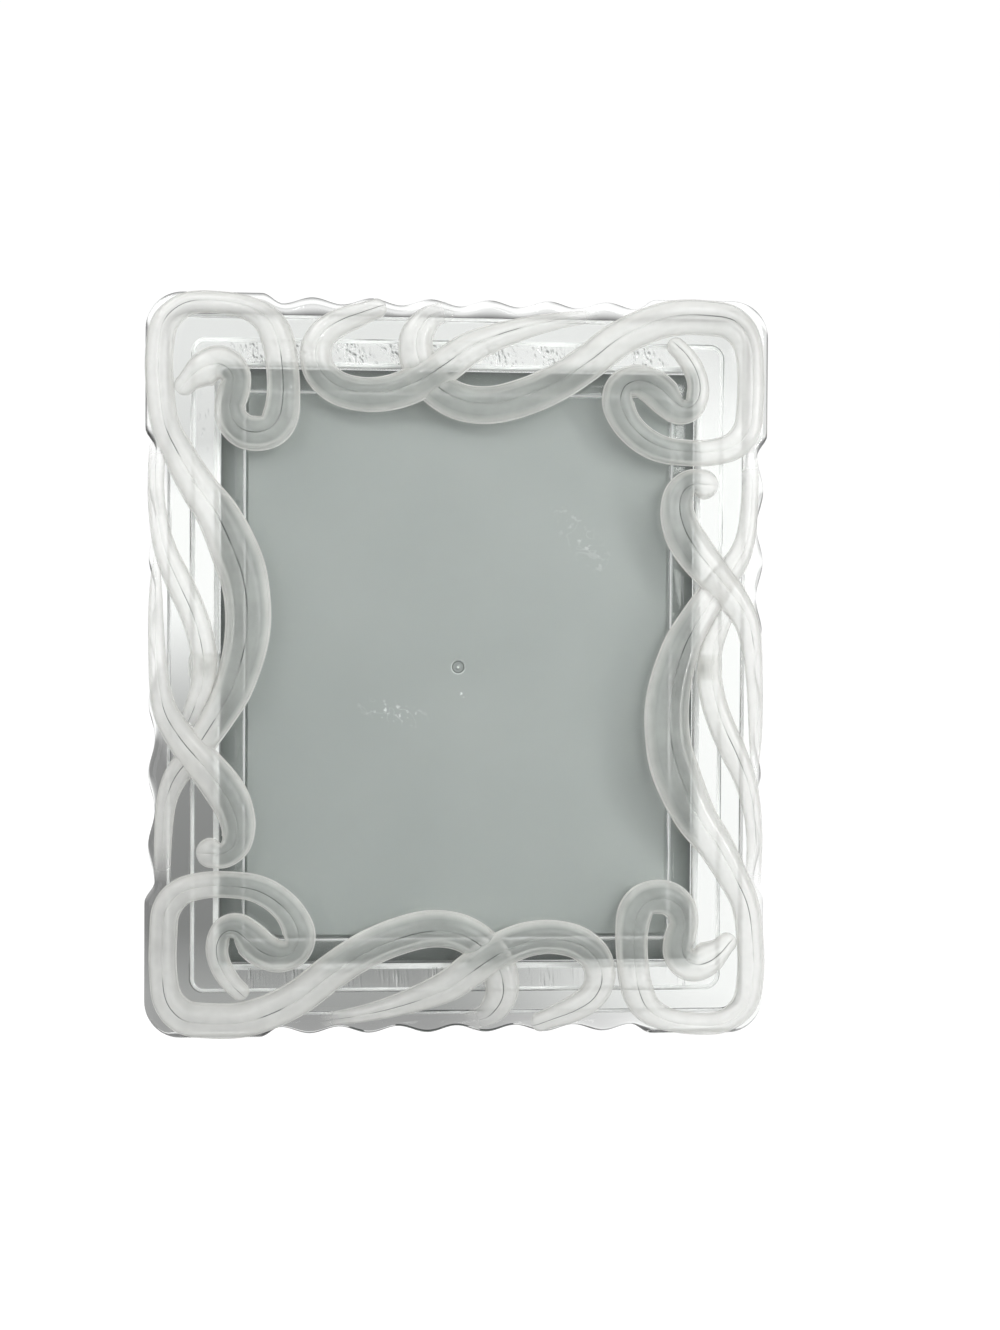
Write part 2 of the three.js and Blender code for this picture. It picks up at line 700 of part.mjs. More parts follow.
/** A strand as one closed ribbon of sections, grown all round by a margin. */
function strandGeometry(points, margin = 0) {
  const run = stations(points);
  const first = run[0];
  const last = run[run.length - 1];
  const rings = [
    ...END_CAP.map((cap) => endStation(first, -1, cap)).reverse(),
    ...run,
    ...END_CAP.map((cap) => endStation(last, 1, cap)),
  ];
  const position = [];
  for (const { middle, heading, left, right, under, crown } of rings) {
    for (const [across, up] of SECTION) {
      const side = across * ((across > 0 ? left : right) + margin);
      const low = under - margin;
      const height = low + up * (crown + margin - low);
      position.push(middle.x - heading.y * side, middle.y + heading.x * side, strandBase + height);
    }
  }
  const size = SECTION.length;
  const index = [];
  for (let ring = 0; ring < rings.length - 1; ring += 1) {
    for (let i = 0; i < size; i += 1) {
      const here = ring * size + i;
      const beside = ring * size + ((i + 1) % size);
      index.push(here, here + size, beside, beside, here + size, beside + size);
    }
  }
  const end = (rings.length - 1) * size;
  for (let i = 1; i < size - 1; i += 1) {
    index.push(0, i, i + 1);
    index.push(end, end + i + 1, end + i);
  }
  const geometry = new THREE.BufferGeometry();
  geometry.setAttribute("position", new THREE.Float32BufferAttribute(position, 3));
  geometry.setIndex(index);
  return geometry;
}

// The strands from the top of the work down: each is cut clear of those above it
const STRANDS = [
  ["tendril_left", TENDRIL_LEFT],
  ["tendril_right", halfTurn(TENDRIL_LEFT)],
  ["tendril_top", TENDRIL_TOP],
  ["tendril_bottom", halfTurn(TENDRIL_TOP)],
  ["scroll_bottom_left", SCROLL_BOTTOM_LEFT],
  ["scroll_top_right", halfTurn(SCROLL_BOTTOM_LEFT)],
  ["scroll_top_left", SCROLL_TOP_LEFT],
  ["scroll_bottom_right", halfTurn(SCROLL_TOP_LEFT)],
  ["strand_left", STRAND_LEFT],
  ["strand_right", halfTurn(STRAND_LEFT)],
];

/** Every strand of the scrollwork, coped round the strands that pass over it. */
function scrollwork() {
  return STRANDS.map(([name, points], place) => {
    let body = solidOf(strandGeometry(points));
    for (const [, above] of STRANDS.slice(0, place)) {
      body = body.subtract(solidOf(strandGeometry(above, SEAT_GAP)));
    }
    return piece(name, geometryOf(body), "frosted");
  });
}

// The assembly

const buttonLeft = turnButton().translate(-buttonPivot, 0, 0);
const buttonRight = turnButton().rotateZ(Math.PI).translate(buttonPivot, 0, 0);

face.add(
  piece("front_frame", frontFrame(), "clear"),
  piece("rear_frame", rearFrame(), "clear"),
  piece("window_pane", windowPane(), "clear"),
  piece("back_panel", backPanel(), "grey"),
  piece("hinge_pin", hingePin(), "steel"),
  piece("turn_button_left", buttonLeft, "frosted"),
  piece("turn_button_right", buttonRight, "frosted"),
  piece("turn_screw_left", turnScrew().translate(-buttonPivot, 0, 0), "nylon"),
  piece("turn_screw_right", turnScrew().translate(buttonPivot, 0, 0), "nylon"),
  ...scrollwork(),
);
leg.add(piece("easel_leg", easelLeg(), "grey"));

// The frame stands on the ground, with the middle of its footprint at the origin
const frame = new THREE.Group();
frame.add(face);
frame.updateMatrixWorld();
const box = new THREE.Box3().setFromObject(frame, true);
frame.position.set(0, -(box.min.y + box.max.y) / 2, -ground);

export default frame;
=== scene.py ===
"""The look of a standing acrylic photo frame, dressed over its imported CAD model.

Lengths in the classes below are millimetres on the leaning face: x to the right, y up the face and z out of
its front. Face.world turns them into metres in the frame that the CAD model uses.
"""

import logging
import math
from abc import ABC, abstractmethod
from dataclasses import dataclass, replace
from enum import Enum
from typing import Any

import bmesh
import bpy
import numpy as np
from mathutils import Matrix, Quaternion, Vector


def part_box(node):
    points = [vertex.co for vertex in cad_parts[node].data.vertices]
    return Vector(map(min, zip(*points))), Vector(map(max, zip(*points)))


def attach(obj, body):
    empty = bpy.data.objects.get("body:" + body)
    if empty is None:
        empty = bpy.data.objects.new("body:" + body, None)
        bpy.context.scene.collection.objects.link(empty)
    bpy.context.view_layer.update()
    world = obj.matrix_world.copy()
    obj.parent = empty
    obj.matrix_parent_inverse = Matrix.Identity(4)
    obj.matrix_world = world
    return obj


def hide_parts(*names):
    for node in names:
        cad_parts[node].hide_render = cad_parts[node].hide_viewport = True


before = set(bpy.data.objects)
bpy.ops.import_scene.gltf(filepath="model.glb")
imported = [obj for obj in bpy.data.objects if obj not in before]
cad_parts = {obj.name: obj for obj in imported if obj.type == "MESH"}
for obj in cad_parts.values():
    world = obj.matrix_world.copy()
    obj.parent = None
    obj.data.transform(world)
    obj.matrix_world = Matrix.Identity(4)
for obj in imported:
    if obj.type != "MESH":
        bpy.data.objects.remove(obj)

Material = bpy.types.Material
Piece = bpy.types.Object
Socket = bpy.types.NodeSocket
Tree = bpy.types.NodeTree
Inputs = dict[str | int, Any]
Span = tuple[float, float]
Row = tuple[np.ndarray, float, float]

LOG = logging.getLogger("photo_frame")
MM = 0.001
WHITE = "#FFFFFF"
COLOURS = {"out": 2, "data_type": "RGBA"}  # what makes a mixing node mix colours


class Body(Enum):
    """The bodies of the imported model."""

    FRAME = "frame"
    LEG = "leg"
    BUTTON_LEFT = "button_left"
    BUTTON_RIGHT = "button_right"


class Slot(Enum):
    """The record's material slots for the pieces that are made here."""

    CLEAR = "acrylic_clear"
    FROSTED = "acrylic_frosted"
    PANEL = "panel_grey"
    NYLON = "nylon_white"
    STEEL = "steel"


# Meshes


def grid_quads(rows: int, columns: int, close_rows: bool = False, close_columns: bool = False) -> np.ndarray:
    """Joins a grid of points, held row by row, into quads.

    Each quad takes a point, its neighbour in the row, and the same two in the next row.

    Args:
        rows: How many rows the grid has.
        columns: How many points are in a row.
        close_rows: Joins the last row to the first.
        close_columns: Joins each row's last point to its first.

    Returns:
        An array of four point numbers for each quad.
    """
    row = np.arange(rows if close_rows else rows - 1)[:, None]
    column = np.arange(columns if close_columns else columns - 1)[None, :]
    here, next_row = row * columns, (row + 1) % rows * columns
    beside = (column + 1) % columns
    corners = (here + column, here + beside, next_row + beside, next_row + column)
    return np.stack(np.broadcast_arrays(*corners), axis=-1).reshape(-1, 4)


def volume(points: np.ndarray, triangles: np.ndarray) -> float:
    """Gives the signed volume of a closed mesh: a sixth of the sum of each triangle's triple product."""
    a, b, c = (points[triangles[:, i]] for i in range(3))
    return float(np.einsum("ij,ij->", a, np.cross(b, c)) / 6)


@dataclass(frozen=True)
class Face:
    """The plane of the leaning face, taken from the window pane that lies in it."""

    middle: np.ndarray
    lean: float

    @classmethod
    def of_pane(cls, lean: float, pane_middle: float) -> "Face":
        """Finds the face from the middle of the pane's box.

        Args:
            lean: How far the face leans back from upright, in radians.
            pane_middle: How far the middle of the pane lies in front of the face's back plane.

        Returns:
            The face, with its middle in metres.
        """
        low, high = (np.array(corner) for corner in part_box("window_pane"))
        normal = np.array([0, -math.cos(lean), math.sin(lean)])
        return cls((low + high) / 2 - normal * pane_middle * MM, lean)

    def world(self, points: np.ndarray) -> np.ndarray:
        """Turns face millimetres into frame metres.

        y runs up the face along (0, sin, cos) of the lean, and z out of it along (0, -cos, sin).

        Args:
            points: Points on the face, three numbers each.

        Returns:
            The same points in the frame, none of them under the ground.
        """
        x, y, z = np.moveaxis(points * MM, -1, 0)
        sin, cos = math.sin(self.lean), math.cos(self.lean)
        turned = np.stack([x, y * sin - z * cos, y * cos + z * sin], axis=-1) + self.middle
        turned[..., 2] = np.maximum(turned[..., 2], 0)
        return turned


FACE = Face.of_pane(lean=math.radians(15), pane_middle=6.5)


def smooth_mesh(name: str, points: np.ndarray, faces: list[np.ndarray]) -> bpy.types.Mesh:
    """Makes a mesh that is shaded smooth.

    Args:
        name: The mesh's name.
        points: Points in metres, three numbers each.
        faces: Arrays of quads or triangles.

    Returns:
        The new mesh.
    """
    mesh = bpy.data.meshes.new(name)
    mesh.from_pydata(points.tolist(), [], [corners for part in faces for corners in part.tolist()])
    mesh.polygons.foreach_set("use_smooth", np.ones(len(mesh.polygons), dtype=bool))
    return mesh


def placed(name: str, data: bpy.types.ID) -> bpy.types.Object:
    """Puts a mesh, a lamp or a camera into the scene.

    Args:
        name: The object's name.
        data: What the object holds.

    Returns:
        The new object, at the origin.
    """
    thing = bpy.data.objects.new(name, data)
    bpy.context.scene.collection.objects.link(thing)
    return thing


def give(mesh: bpy.types.Mesh, **values: np.ndarray) -> None:
    """Gives a mesh's points named numbers for its material to read."""
    for label, numbers in values.items():
        mesh.attributes.new(label, "FLOAT", "POINT").data.foreach_set("value", numbers.astype(np.float32))


def new_piece(name: str, points: np.ndarray, faces: list[np.ndarray], **values: np.ndarray) -> Piece:
    """Makes a smooth closed piece from points on the face, with its faces outwards.

    Args:
        name: The piece's name.
        points: Points on the face in millimetres.
        faces: Arrays of quads or triangles.
        values: Named numbers for each point, for the material to read.

    Returns:
        The new object, at the origin with its place in its mesh.
    """
    points = FACE.world(points)
    triangles = np.vstack([part[:, [0, i, i + 1]] for part in faces for i in range(1, part.shape[1] - 1)])
    if volume(points, triangles) < 0:
        faces = [part[:, ::-1] for part in faces]
    mesh = smooth_mesh(name, points, faces)
    give(mesh, **values)
    mesh.update()
    return placed(name, mesh)


def dress(piece: Piece, material: Material) -> None:
    """Gives a piece its material in place of any other, and reports it.

    Args:
        piece: The piece.
        material: Its material.
    """
    piece.data.materials.clear()
    piece.data.materials.append(material)
    LOG.info("%s: %d faces of %s", piece.name, len(piece.data.polygons), material.name)


def settle(piece: Piece, body: Body, slot: Slot, material: Material, *nodes: str) -> None:
    """Gives a piece its material, its body and the CAD nodes that it stands for.

    Args:
        piece: The piece.
        body: The body that it moves with.
        slot: The record's slot that its finish belongs to. It is not used.
        material: Its material.
        nodes: The CAD nodes that it replaces.
    """
    dress(piece, material)
    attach(piece, body.value)
    if nodes:
        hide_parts(*nodes)


def eased_copy(node: str, name: str, radius: float) -> Piece:
    """Copies a CAD node, merges its triangles into flat faces and eases its sharp edges.

    Args:
        node: The CAD node.
        name: The new piece's name.
        radius: The radius of the eased edges in millimetres.

    Returns:
        The new object.
    """
    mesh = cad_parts[node].data.copy()
    mesh.name = name
    form = bmesh.new()
    form.from_mesh(mesh)
    bmesh.ops.remove_doubles(form, verts=form.verts, dist=0.002 * MM)
    bmesh.ops.dissolve_limit(form, angle_limit=math.radians(1), verts=form.verts, edges=form.edges)
    form.to_mesh(mesh)
    form.free()
    for attribute in [a for a in mesh.attributes if a.name == "custom_normal"]:
        mesh.attributes.remove(attribute)
    mesh.polygons.foreach_set("use_smooth", np.ones(len(mesh.polygons), dtype=bool))
    piece = placed(name, mesh)
    bevel = piece.modifiers.new("eased_edges", "BEVEL")
    bevel.width = radius * MM
    bevel.segments = 2
    bevel.limit_method = "ANGLE"
    bevel.angle_limit = math.radians(30)
    bevel.harden_normals = True
    return piece


# Outlines


@dataclass(frozen=True)
class Rectangle:
    """A rounded rectangle about the middle of the face."""

    width: float
    height: float
    radius: float
    per_side: int = 160
    per_corner: int = 14
    least_radius: float = 0.2

    def grown(self, margin: float) -> "Rectangle":
        """Gives the rectangle moved outwards by a margin, with its corners to match."""
        radius = max(self.radius + margin, self.least_radius)
        return replace(self, width=self.width + 2 * margin, height=self.height + 2 * margin, radius=radius)

    def outline(self) -> np.ndarray:
        """Gives the outline counter-clockwise from the bottom left.

        Each side is a row of even points, and the quarter circle of the corner at its end comes after it.

        Returns:
            The points, two numbers each.
        """
        x, y, r = self.width / 2 - self.radius, self.height / 2 - self.radius, self.radius
        along = np.linspace(-1, 1, self.per_side)
        arc = np.linspace(0, math.pi / 2, self.per_corner + 2)[1:-1]
        edge = np.ones_like(along)
        sides = ((x, y + r), (y, x + r)) * 2
        corners = ((x, -y), (x, y), (-x, y), (-x, -y))
        runs = []
        for quarter, ((half, reach), (a, b)) in enumerate(zip(sides, corners, strict=True)):
            turn = quarter * math.pi / 2
            cos, sin = math.cos(turn), math.sin(turn)
            side = np.stack([half * along, -reach * edge], axis=-1)
            runs.append(side @ np.array([[cos, sin], [-sin, cos]]))
            runs.append(np.stack([a + r * np.sin(arc + turn), b - r * np.cos(arc + turn)], axis=-1))
        return np.vstack(runs)


def inwards(outline: np.ndarray, distance: np.ndarray | float) -> np.ndarray:
    """Moves a counter-clockwise outline inwards, each point along its normal, the left of its heading.

    Args:
        outline: The outline's points, two numbers each.
        distance: How far they move.

    Returns:
        The points moved.
    """
    heading = np.roll(outline, -1, axis=0) - np.roll(outline, 1, axis=0)
    heading /= np.linalg.norm(heading, axis=1, keepdims=True)
    normal = np.stack([-heading[:, 1], heading[:, 0]], axis=-1)
    return outline + normal * np.reshape(distance, (-1, 1))


def closed_ring(name: str, rows: list[Row]) -> Piece:
    """Joins outlines round a closed section into a ring.

    Args:
        name: The piece's name.
        rows: Each outline with its height, and how far it is painted white as a highlight, or under 0 how far
            it is painted dark as shade.

    Returns:
        The new object.
    """
    grid = np.stack([np.column_stack([line, np.full(len(line), z)]) for line, z, _ in rows])
    painted_edge = np.repeat([edge for _, _, edge in rows], grid.shape[1])
    quads = grid_quads(*grid.shape[:2], close_rows=True, close_columns=True)
    return new_piece(name, grid.reshape(-1, 3), [quads], edge=painted_edge)


def between(first: np.ndarray, last: np.ndarray, steps: int) -> list[np.ndarray]:
    """Gives even steps from one outline to another, without the two themselves."""
    return [first + (last - first) * t for t in np.linspace(0, 1, steps + 2)[1:-1]]


def quarter_turn(steps: int) -> list[Span]:
    """Gives the sine and cosine of even steps through a quarter turn, both ends included."""
    return [(math.sin(t), math.cos(t)) for t in np.linspace(0, math.pi / 2, steps + 1)]


# Materials


def linear(code: str) -> tuple[float, float, float, float]:
    """Turns an sRGB hex colour into linear light.

    Args:
        code: The colour, as # and six digits.

    Returns:
        Its red, green and blue, and an alpha of 1.
    """
    value = np.array([int(code[i : i + 2], 16) for i in (1, 3, 5)]) / 255
    light = np.where(value <= 0.04045, value / 12.92, ((value + 0.055) / 1.055) ** 2.4)
    return (*(float(part) for part in light), 1.0)


def empty_tree(owner: Material | bpy.types.World) -> Tree:
    """Gives a material or a world a node tree with nothing in it.

    Args:
        owner: The material or the world.

    Returns:
        Its node tree.
    """
    owner.use_nodes = True
    owner.node_tree.nodes.clear()
    return owner.node_tree


def add_node(
    tree: Tree, kind: str, inputs: Inputs | None = None, out: str | int = 0, **settings: Any
) -> Socket | None:
    """Adds a node with its settings and inputs.

    Args:
        tree: The node tree.
        kind: The node's type, without the word ShaderNode.
        inputs: Values or sockets by the input's name or number.
        out: The name or number of the output that is wanted.
        settings: The node's own properties.

    Returns:
        The wanted output, or nothing from a node that has no outputs.
    """
    node = tree.nodes.new("ShaderNode" + kind)
    for name, value in settings.items():
        setattr(node, name, value)
    for name, value in (inputs or {}).items():
        if isinstance(value, Socket):
            tree.links.new(value, node.inputs[name])
        else:
            node.inputs[name].default_value = value
    return node.outputs[out] if node.outputs else None


def per_mm(millimetres: float) -> float:
    """Gives the texture scale at which a pattern repeats about every so many millimetres."""
    return 1 / (millimetres * MM)


def on_face(tree: Tree) -> Socket:
    """Gives places on the leaning face in millimetres, x to the right and y up.

    Args:
        tree: The node tree.

    Returns:
        The place of each point.
    """
    turn = (math.pi / 2 - FACE.lean, 0.0, 0.0)
    inputs = {"Location": FACE.world(np.zeros(3)), "Rotation": turn, "Scale": (MM, MM, MM)}
    inputs["Vector"] = add_node(tree, "TexCoord", out="Object")
    return add_node(tree, "Mapping", inputs, vector_type="TEXTURE")


def outside(tree: Tree, place: Socket, half: Span) -> Socket:
    """Gives how far a place on the face lies past a rectangle about its middle.

    Args:
        tree: The node tree.
        place: The place on the face.
        half: Half the rectangle's width and height.

    Returns:
        The distance past the nearer side in millimetres, under 0 within the rectangle.
    """
    away = add_node(tree, "VectorMath", {0: place}, operation="ABSOLUTE")
    past = add_node(tree, "VectorMath", {0: away, 1: (*half, 0.0)}, operation="SUBTRACT")
    sides = add_node(tree, "SeparateXYZ", {0: past}).node.outputs
    return add_node(tree, "Math", {0: sides["X"], 1: sides["Y"]}, operation="MAXIMUM")


@dataclass(frozen=True)
class Finish(ABC):
    """What every finish shares: its name, and a material whose main shader takes the inputs that it gives."""

    name: str

    @abstractmethod
    def inputs(self, tree: Tree) -> Inputs:
        """Adds the nodes that the finish needs.

        Args:
            tree: The material's node tree.

        Returns:
            The main shader's inputs by name.
        """

    def material(self) -> Material:
        """Builds the material: its main shader, joined to its output.

        Returns:
            The new material.
        """
        material = bpy.data.materials.new(self.name)
        tree = empty_tree(material)
        shader = add_node(tree, "BsdfPrincipled", self.inputs(tree))
        add_node(tree, "OutputMaterial", {"Surface": shader})
        return material


@dataclass(frozen=True)
class ClearAcrylic(Finish):
    """Clear PMMA from a polished die: glassy, its dulled edges painted white as highlight lines and its
    corners painted dark as shade.
    """

    tint: str = "#FEFFFE"
    # the colour of the painted shade in corners
    corner_shade: str = "#3E4341"
    ior: float = 1.49
    roughness: Span = (0.01, 0.05)
    edge_roughness: float = 0.3
    # how far an edge with a painted highlight turns opaque white
    edge_highlight: float = 0.92
    wave_mm: float = 9.0
    wave_noise: Span = (0.35, 0.7)
    wave_depth_mm: float = 0.05
    wave_strength: float = 0.25
    shade_gap_mm: float = 30.0
    shade_noise: Span = (0.42, 0.6)

    def inputs(self, tree: Tree) -> Inputs:
        """Reads how far a point belongs to an edge painted white as a highlight, or under 0 to a corner
        painted dark as shade.

        Args:
            tree: The material's node tree.

        Returns:
            The main shader's inputs by name.
        """
        place = add_node(tree, "TexCoord", out="Object")
        edge = add_node(tree, "Attribute", out="Fac", attribute_name="edge")
        # painted highlight: marked edge rows go opaque white, as if they caught the light
        painted_edge = add_node(tree, "Math", {0: edge, 1: 0.0}, operation="MAXIMUM")
        # painted shade: corner rows go dark grey, in patches of noise
        corner = add_node(tree, "Math", {0: edge, 1: -1.0}, operation="MULTIPLY", use_clamp=True)
        gaps = add_node(tree, "TexNoise", {"Vector": place, "Scale": per_mm(self.shade_gap_mm), "Detail": 2.0})
        first, last = self.shade_noise
        kept = add_node(tree, "MapRange", {"Value": gaps, 1: first, 2: last})
        shaded_corner = add_node(tree, "Math", {0: corner, 1: kept}, operation="MULTIPLY")
        tones = {0: shaded_corner, 6: linear(self.tint), 7: linear(self.corner_shade)}
        opaque = add_node(tree, "Math", {0: painted_edge, 1: shaded_corner}, operation="ADD")
        through = {0: opaque, 1: -self.edge_highlight, 2: 1.0}
        wave = add_node(tree, "TexNoise", {"Vector": place, "Scale": per_mm(self.wave_mm), "Detail": 2.0})
        (first, last), (low, high) = self.wave_noise, self.roughness
        haze = add_node(tree, "MapRange", {"Value": wave, 1: first, 2: last, 3: low, 4: high})
        dulled = {0: painted_edge, 1: self.edge_roughness, 2: haze}
        waved = {"Height": wave, "Strength": self.wave_strength, "Distance": self.wave_depth_mm * MM}
        return {
            "Base Color": add_node(tree, "Mix", tones, **COLOURS),
            "Transmission Weight": add_node(tree, "Math", through, operation="MULTIPLY_ADD"),
            "Roughness": add_node(tree, "Math", dulled, operation="MULTIPLY_ADD"),
            "Normal": add_node(tree, "Bump", waved),
            "IOR": self.ior,
        }


@dataclass(frozen=True)
class DriedCement(Finish):
    """Acrylic solvent cement, dried with air in it: each bubble has a painted highlight on one flank and
    painted grey shade on the other.
    """

    bright: str = WHITE
    shade: str = "#646A68"
    strength: float = 3.4
    roughness: float = 0.3

    def inputs(self, tree: Tree) -> Inputs:
        """Reads how a point of the film slopes.

        Args:
            tree: The material's node tree.

        Returns:
            The main shader's inputs by name.
        """
        glint = add_node(tree, "Attribute", out="Fac", attribute_name="glint")
        # painted light: flanks that slope towards the light are painted white, the rest grey shade, the
        # steeper the stronger
        lit = add_node(tree, "Math", {0: glint, 1: 0.0}, operation="GREATER_THAN")
        tones = {0: lit, 6: linear(self.shade), 7: linear(self.bright)}
        steep = add_node(tree, "Math", {0: glint}, operation="ABSOLUTE")
        shown = {0: steep, 1: self.strength}
        return {
            "Base Color": add_node(tree, "Mix", tones, **COLOURS),
            "Alpha": add_node(tree, "Math", shown, operation="MULTIPLY", use_clamp=True),
            "Roughness": self.roughness,
        }


@dataclass(frozen=True)
class FrostedAcrylic(Finish):
    """Acid-frosted PMMA: milk white over the clear rail; over the panel a painted grey for the panel seen
    blurred through it, with edges painted white as highlights.
    """

    body: str = "#FEFDF9"
    # painted see-through shade: the panel's grey as if seen blurred through the frosting
    over_panel: str = "#D9DCD8"
    # the colour of the painted shade line along each strand's crease
    line: str = "#565B59"
    ior: float = 1.49
    roughness: float = 0.32
    coat: float = 0.7
    coat_roughness: float = 0.04
    scatter: float = 0.15
    scatter_mm: float = 5.0
    cloud_mm: float = 18.0
    cloud_noise: Span = (0.3, 0.7)
    cloud_depth: float = 0.16
    crease: Span = (0.015, 0.05)
    line_gap_mm: float = 26.0
    line_noise: Span = (0.5, 0.58)
    line_strength: float = 0.9
    line_density: float = 0.3
    panel: Span = (102.5, 127.9)
    blur_mm: Span = (-4.0, 5.0)
    density: Span = (0.52, 0.66)
    edge: Span = (0.6, 0.94)
    # how far the edges over the panel are painted white as a highlight
    edge_highlight: float = 0.85
    edge_density: Span = (0.34, -0.04)

    def inputs(self, tree: Tree) -> Inputs:
        """Reads where a point lies across its strand, and how bare of frosting it is.

        Across runs from -1 to 1 over the top, and is 2 underneath.

        Args:
            tree: The material's node tree.

        Returns:
            The main shader's inputs by name.
        """
        place = on_face(tree)
        side = add_node(tree, "Attribute", out="Fac", attribute_name="across")
        side = add_node(tree, "Math", {0: side}, operation="ABSOLUTE")
        first, last = self.blur_mm
        past = {"Value": outside(tree, place, self.panel), 1: first, 2: last}
        rail = add_node(tree, "MapRange", past, interpolation_type="SMOOTHSTEP")
        first, last = self.edge
        edge = add_node(tree, "MapRange", {"Value": side, 1: first, 2: last})
        # painted highlight on the edges over the panel, and painted see-through grey elsewhere over it
        pale = {0: edge, 1: self.edge_highlight, 2: rail}
        pale = add_node(tree, "Math", pale, operation="MULTIPLY_ADD", use_clamp=True)
        tones = {0: pale, 6: linear(self.over_panel), 7: linear(self.body)}
        milk_and_see_through = add_node(tree, "Mix", tones, **COLOURS)
        # painted shade: a thin dark line along the crease, broken by noise
        first, last = self.crease
        crease = add_node(tree, "MapRange", {"Value": side, 1: first, 2: last, 3: 1.0, 4: 0.0})
        gaps = add_node(tree, "TexNoise", {"Vector": place, "Scale": 1 / self.line_gap_mm, "Detail": 1.0})
        first, last = self.line_noise
        shown = add_node(tree, "MapRange", {"Value": gaps, 1: first, 2: last, 3: 0.0, 4: self.line_strength})
        drawn = add_node(tree, "Math", {0: crease, 1: shown}, operation="MULTIPLY")
        thin, thick = self.density
        dense = add_node(tree, "MapRange", {"Value": rail, 3: thin, 4: thick})
        cloud = add_node(tree, "TexNoise", {"Vector": place, "Scale": 1 / self.cloud_mm, "Detail": 3.0})
        first, last = self.cloud_noise
        uneven = add_node(tree, "MapRange", {"Value": cloud, 1: first, 2: last, 3: -self.cloud_depth, 4: 0.0})
        within, without = self.edge_density
        edged = add_node(tree, "MapRange", {"Value": rail, 3: within, 4: without})
        for layer, share in ((uneven, 1.0), (edge, edged), (drawn, self.line_density)):
            layers = {0: layer, 1: share, 2: dense}
            dense = add_node(tree, "Math", layers, operation="MULTIPLY_ADD", use_clamp=True)
        upper = add_node(tree, "Math", {0: side, 1: 1.5}, operation="LESS_THAN")
        bare = add_node(tree, "Attribute", out="Fac", attribute_name="bare")
        kept = add_node(tree, "Math", {0: upper, 1: bare}, operation="SUBTRACT", use_clamp=True)
        return {
            "Base Color": add_node(tree, "Mix", {0: drawn, 6: milk_and_see_through, 7: linear(self.line)}, **COLOURS),
            "Alpha": add_node(tree, "Math", {0: dense, 1: kept}, operation="MULTIPLY"),
            "Subsurface Weight": self.scatter,
            "Subsurface Radius": (self.scatter_mm * MM,) * 3,
            "Roughness": self.roughness,
            "IOR": self.ior,
            "Coat Weight": self.coat,
            "Coat Roughness": self.coat_roughness,
        }


@dataclass(frozen=True)
class PaneAcrylic(Finish):
    """Extruded PMMA sheet: flat and clear, with a little wear from wiping."""

    tint: str = "#FEFFFE"
    ior: float = 1.49
    roughness: Span = (0.01, 0.04)
    wear_mm: float = 30.0
    wear_noise: Span = (0.4, 0.75)

    def inputs(self, tree: Tree) -> Inputs:
        """Dulls the sheet a little in patches.

        Args:
            tree: The material's node tree.

        Returns:
            The main shader's inputs by name.
        """
        place = add_node(tree, "TexCoord", out="Object")
        wear = add_node(tree, "TexNoise", {"Vector": place, "Scale": per_mm(self.wear_mm), "Detail": 5.0})
        (first, last), (low, high) = self.wear_noise, self.roughness
        return {
            "Base Color": linear(self.tint),
            "Transmission Weight": 1.0,
            "IOR": self.ior,
            "Roughness": add_node(tree, "MapRange", {"Value": wear, 1: first, 2: last, 3: low, 4: high}),
        }


@dataclass(frozen=True)
class Scuff:
    """A rubbed patch on the face: its middle, half lengths, turn and strength."""

    x: float
    y: float
    along: float
    across: float
    turn: float
    strength: float


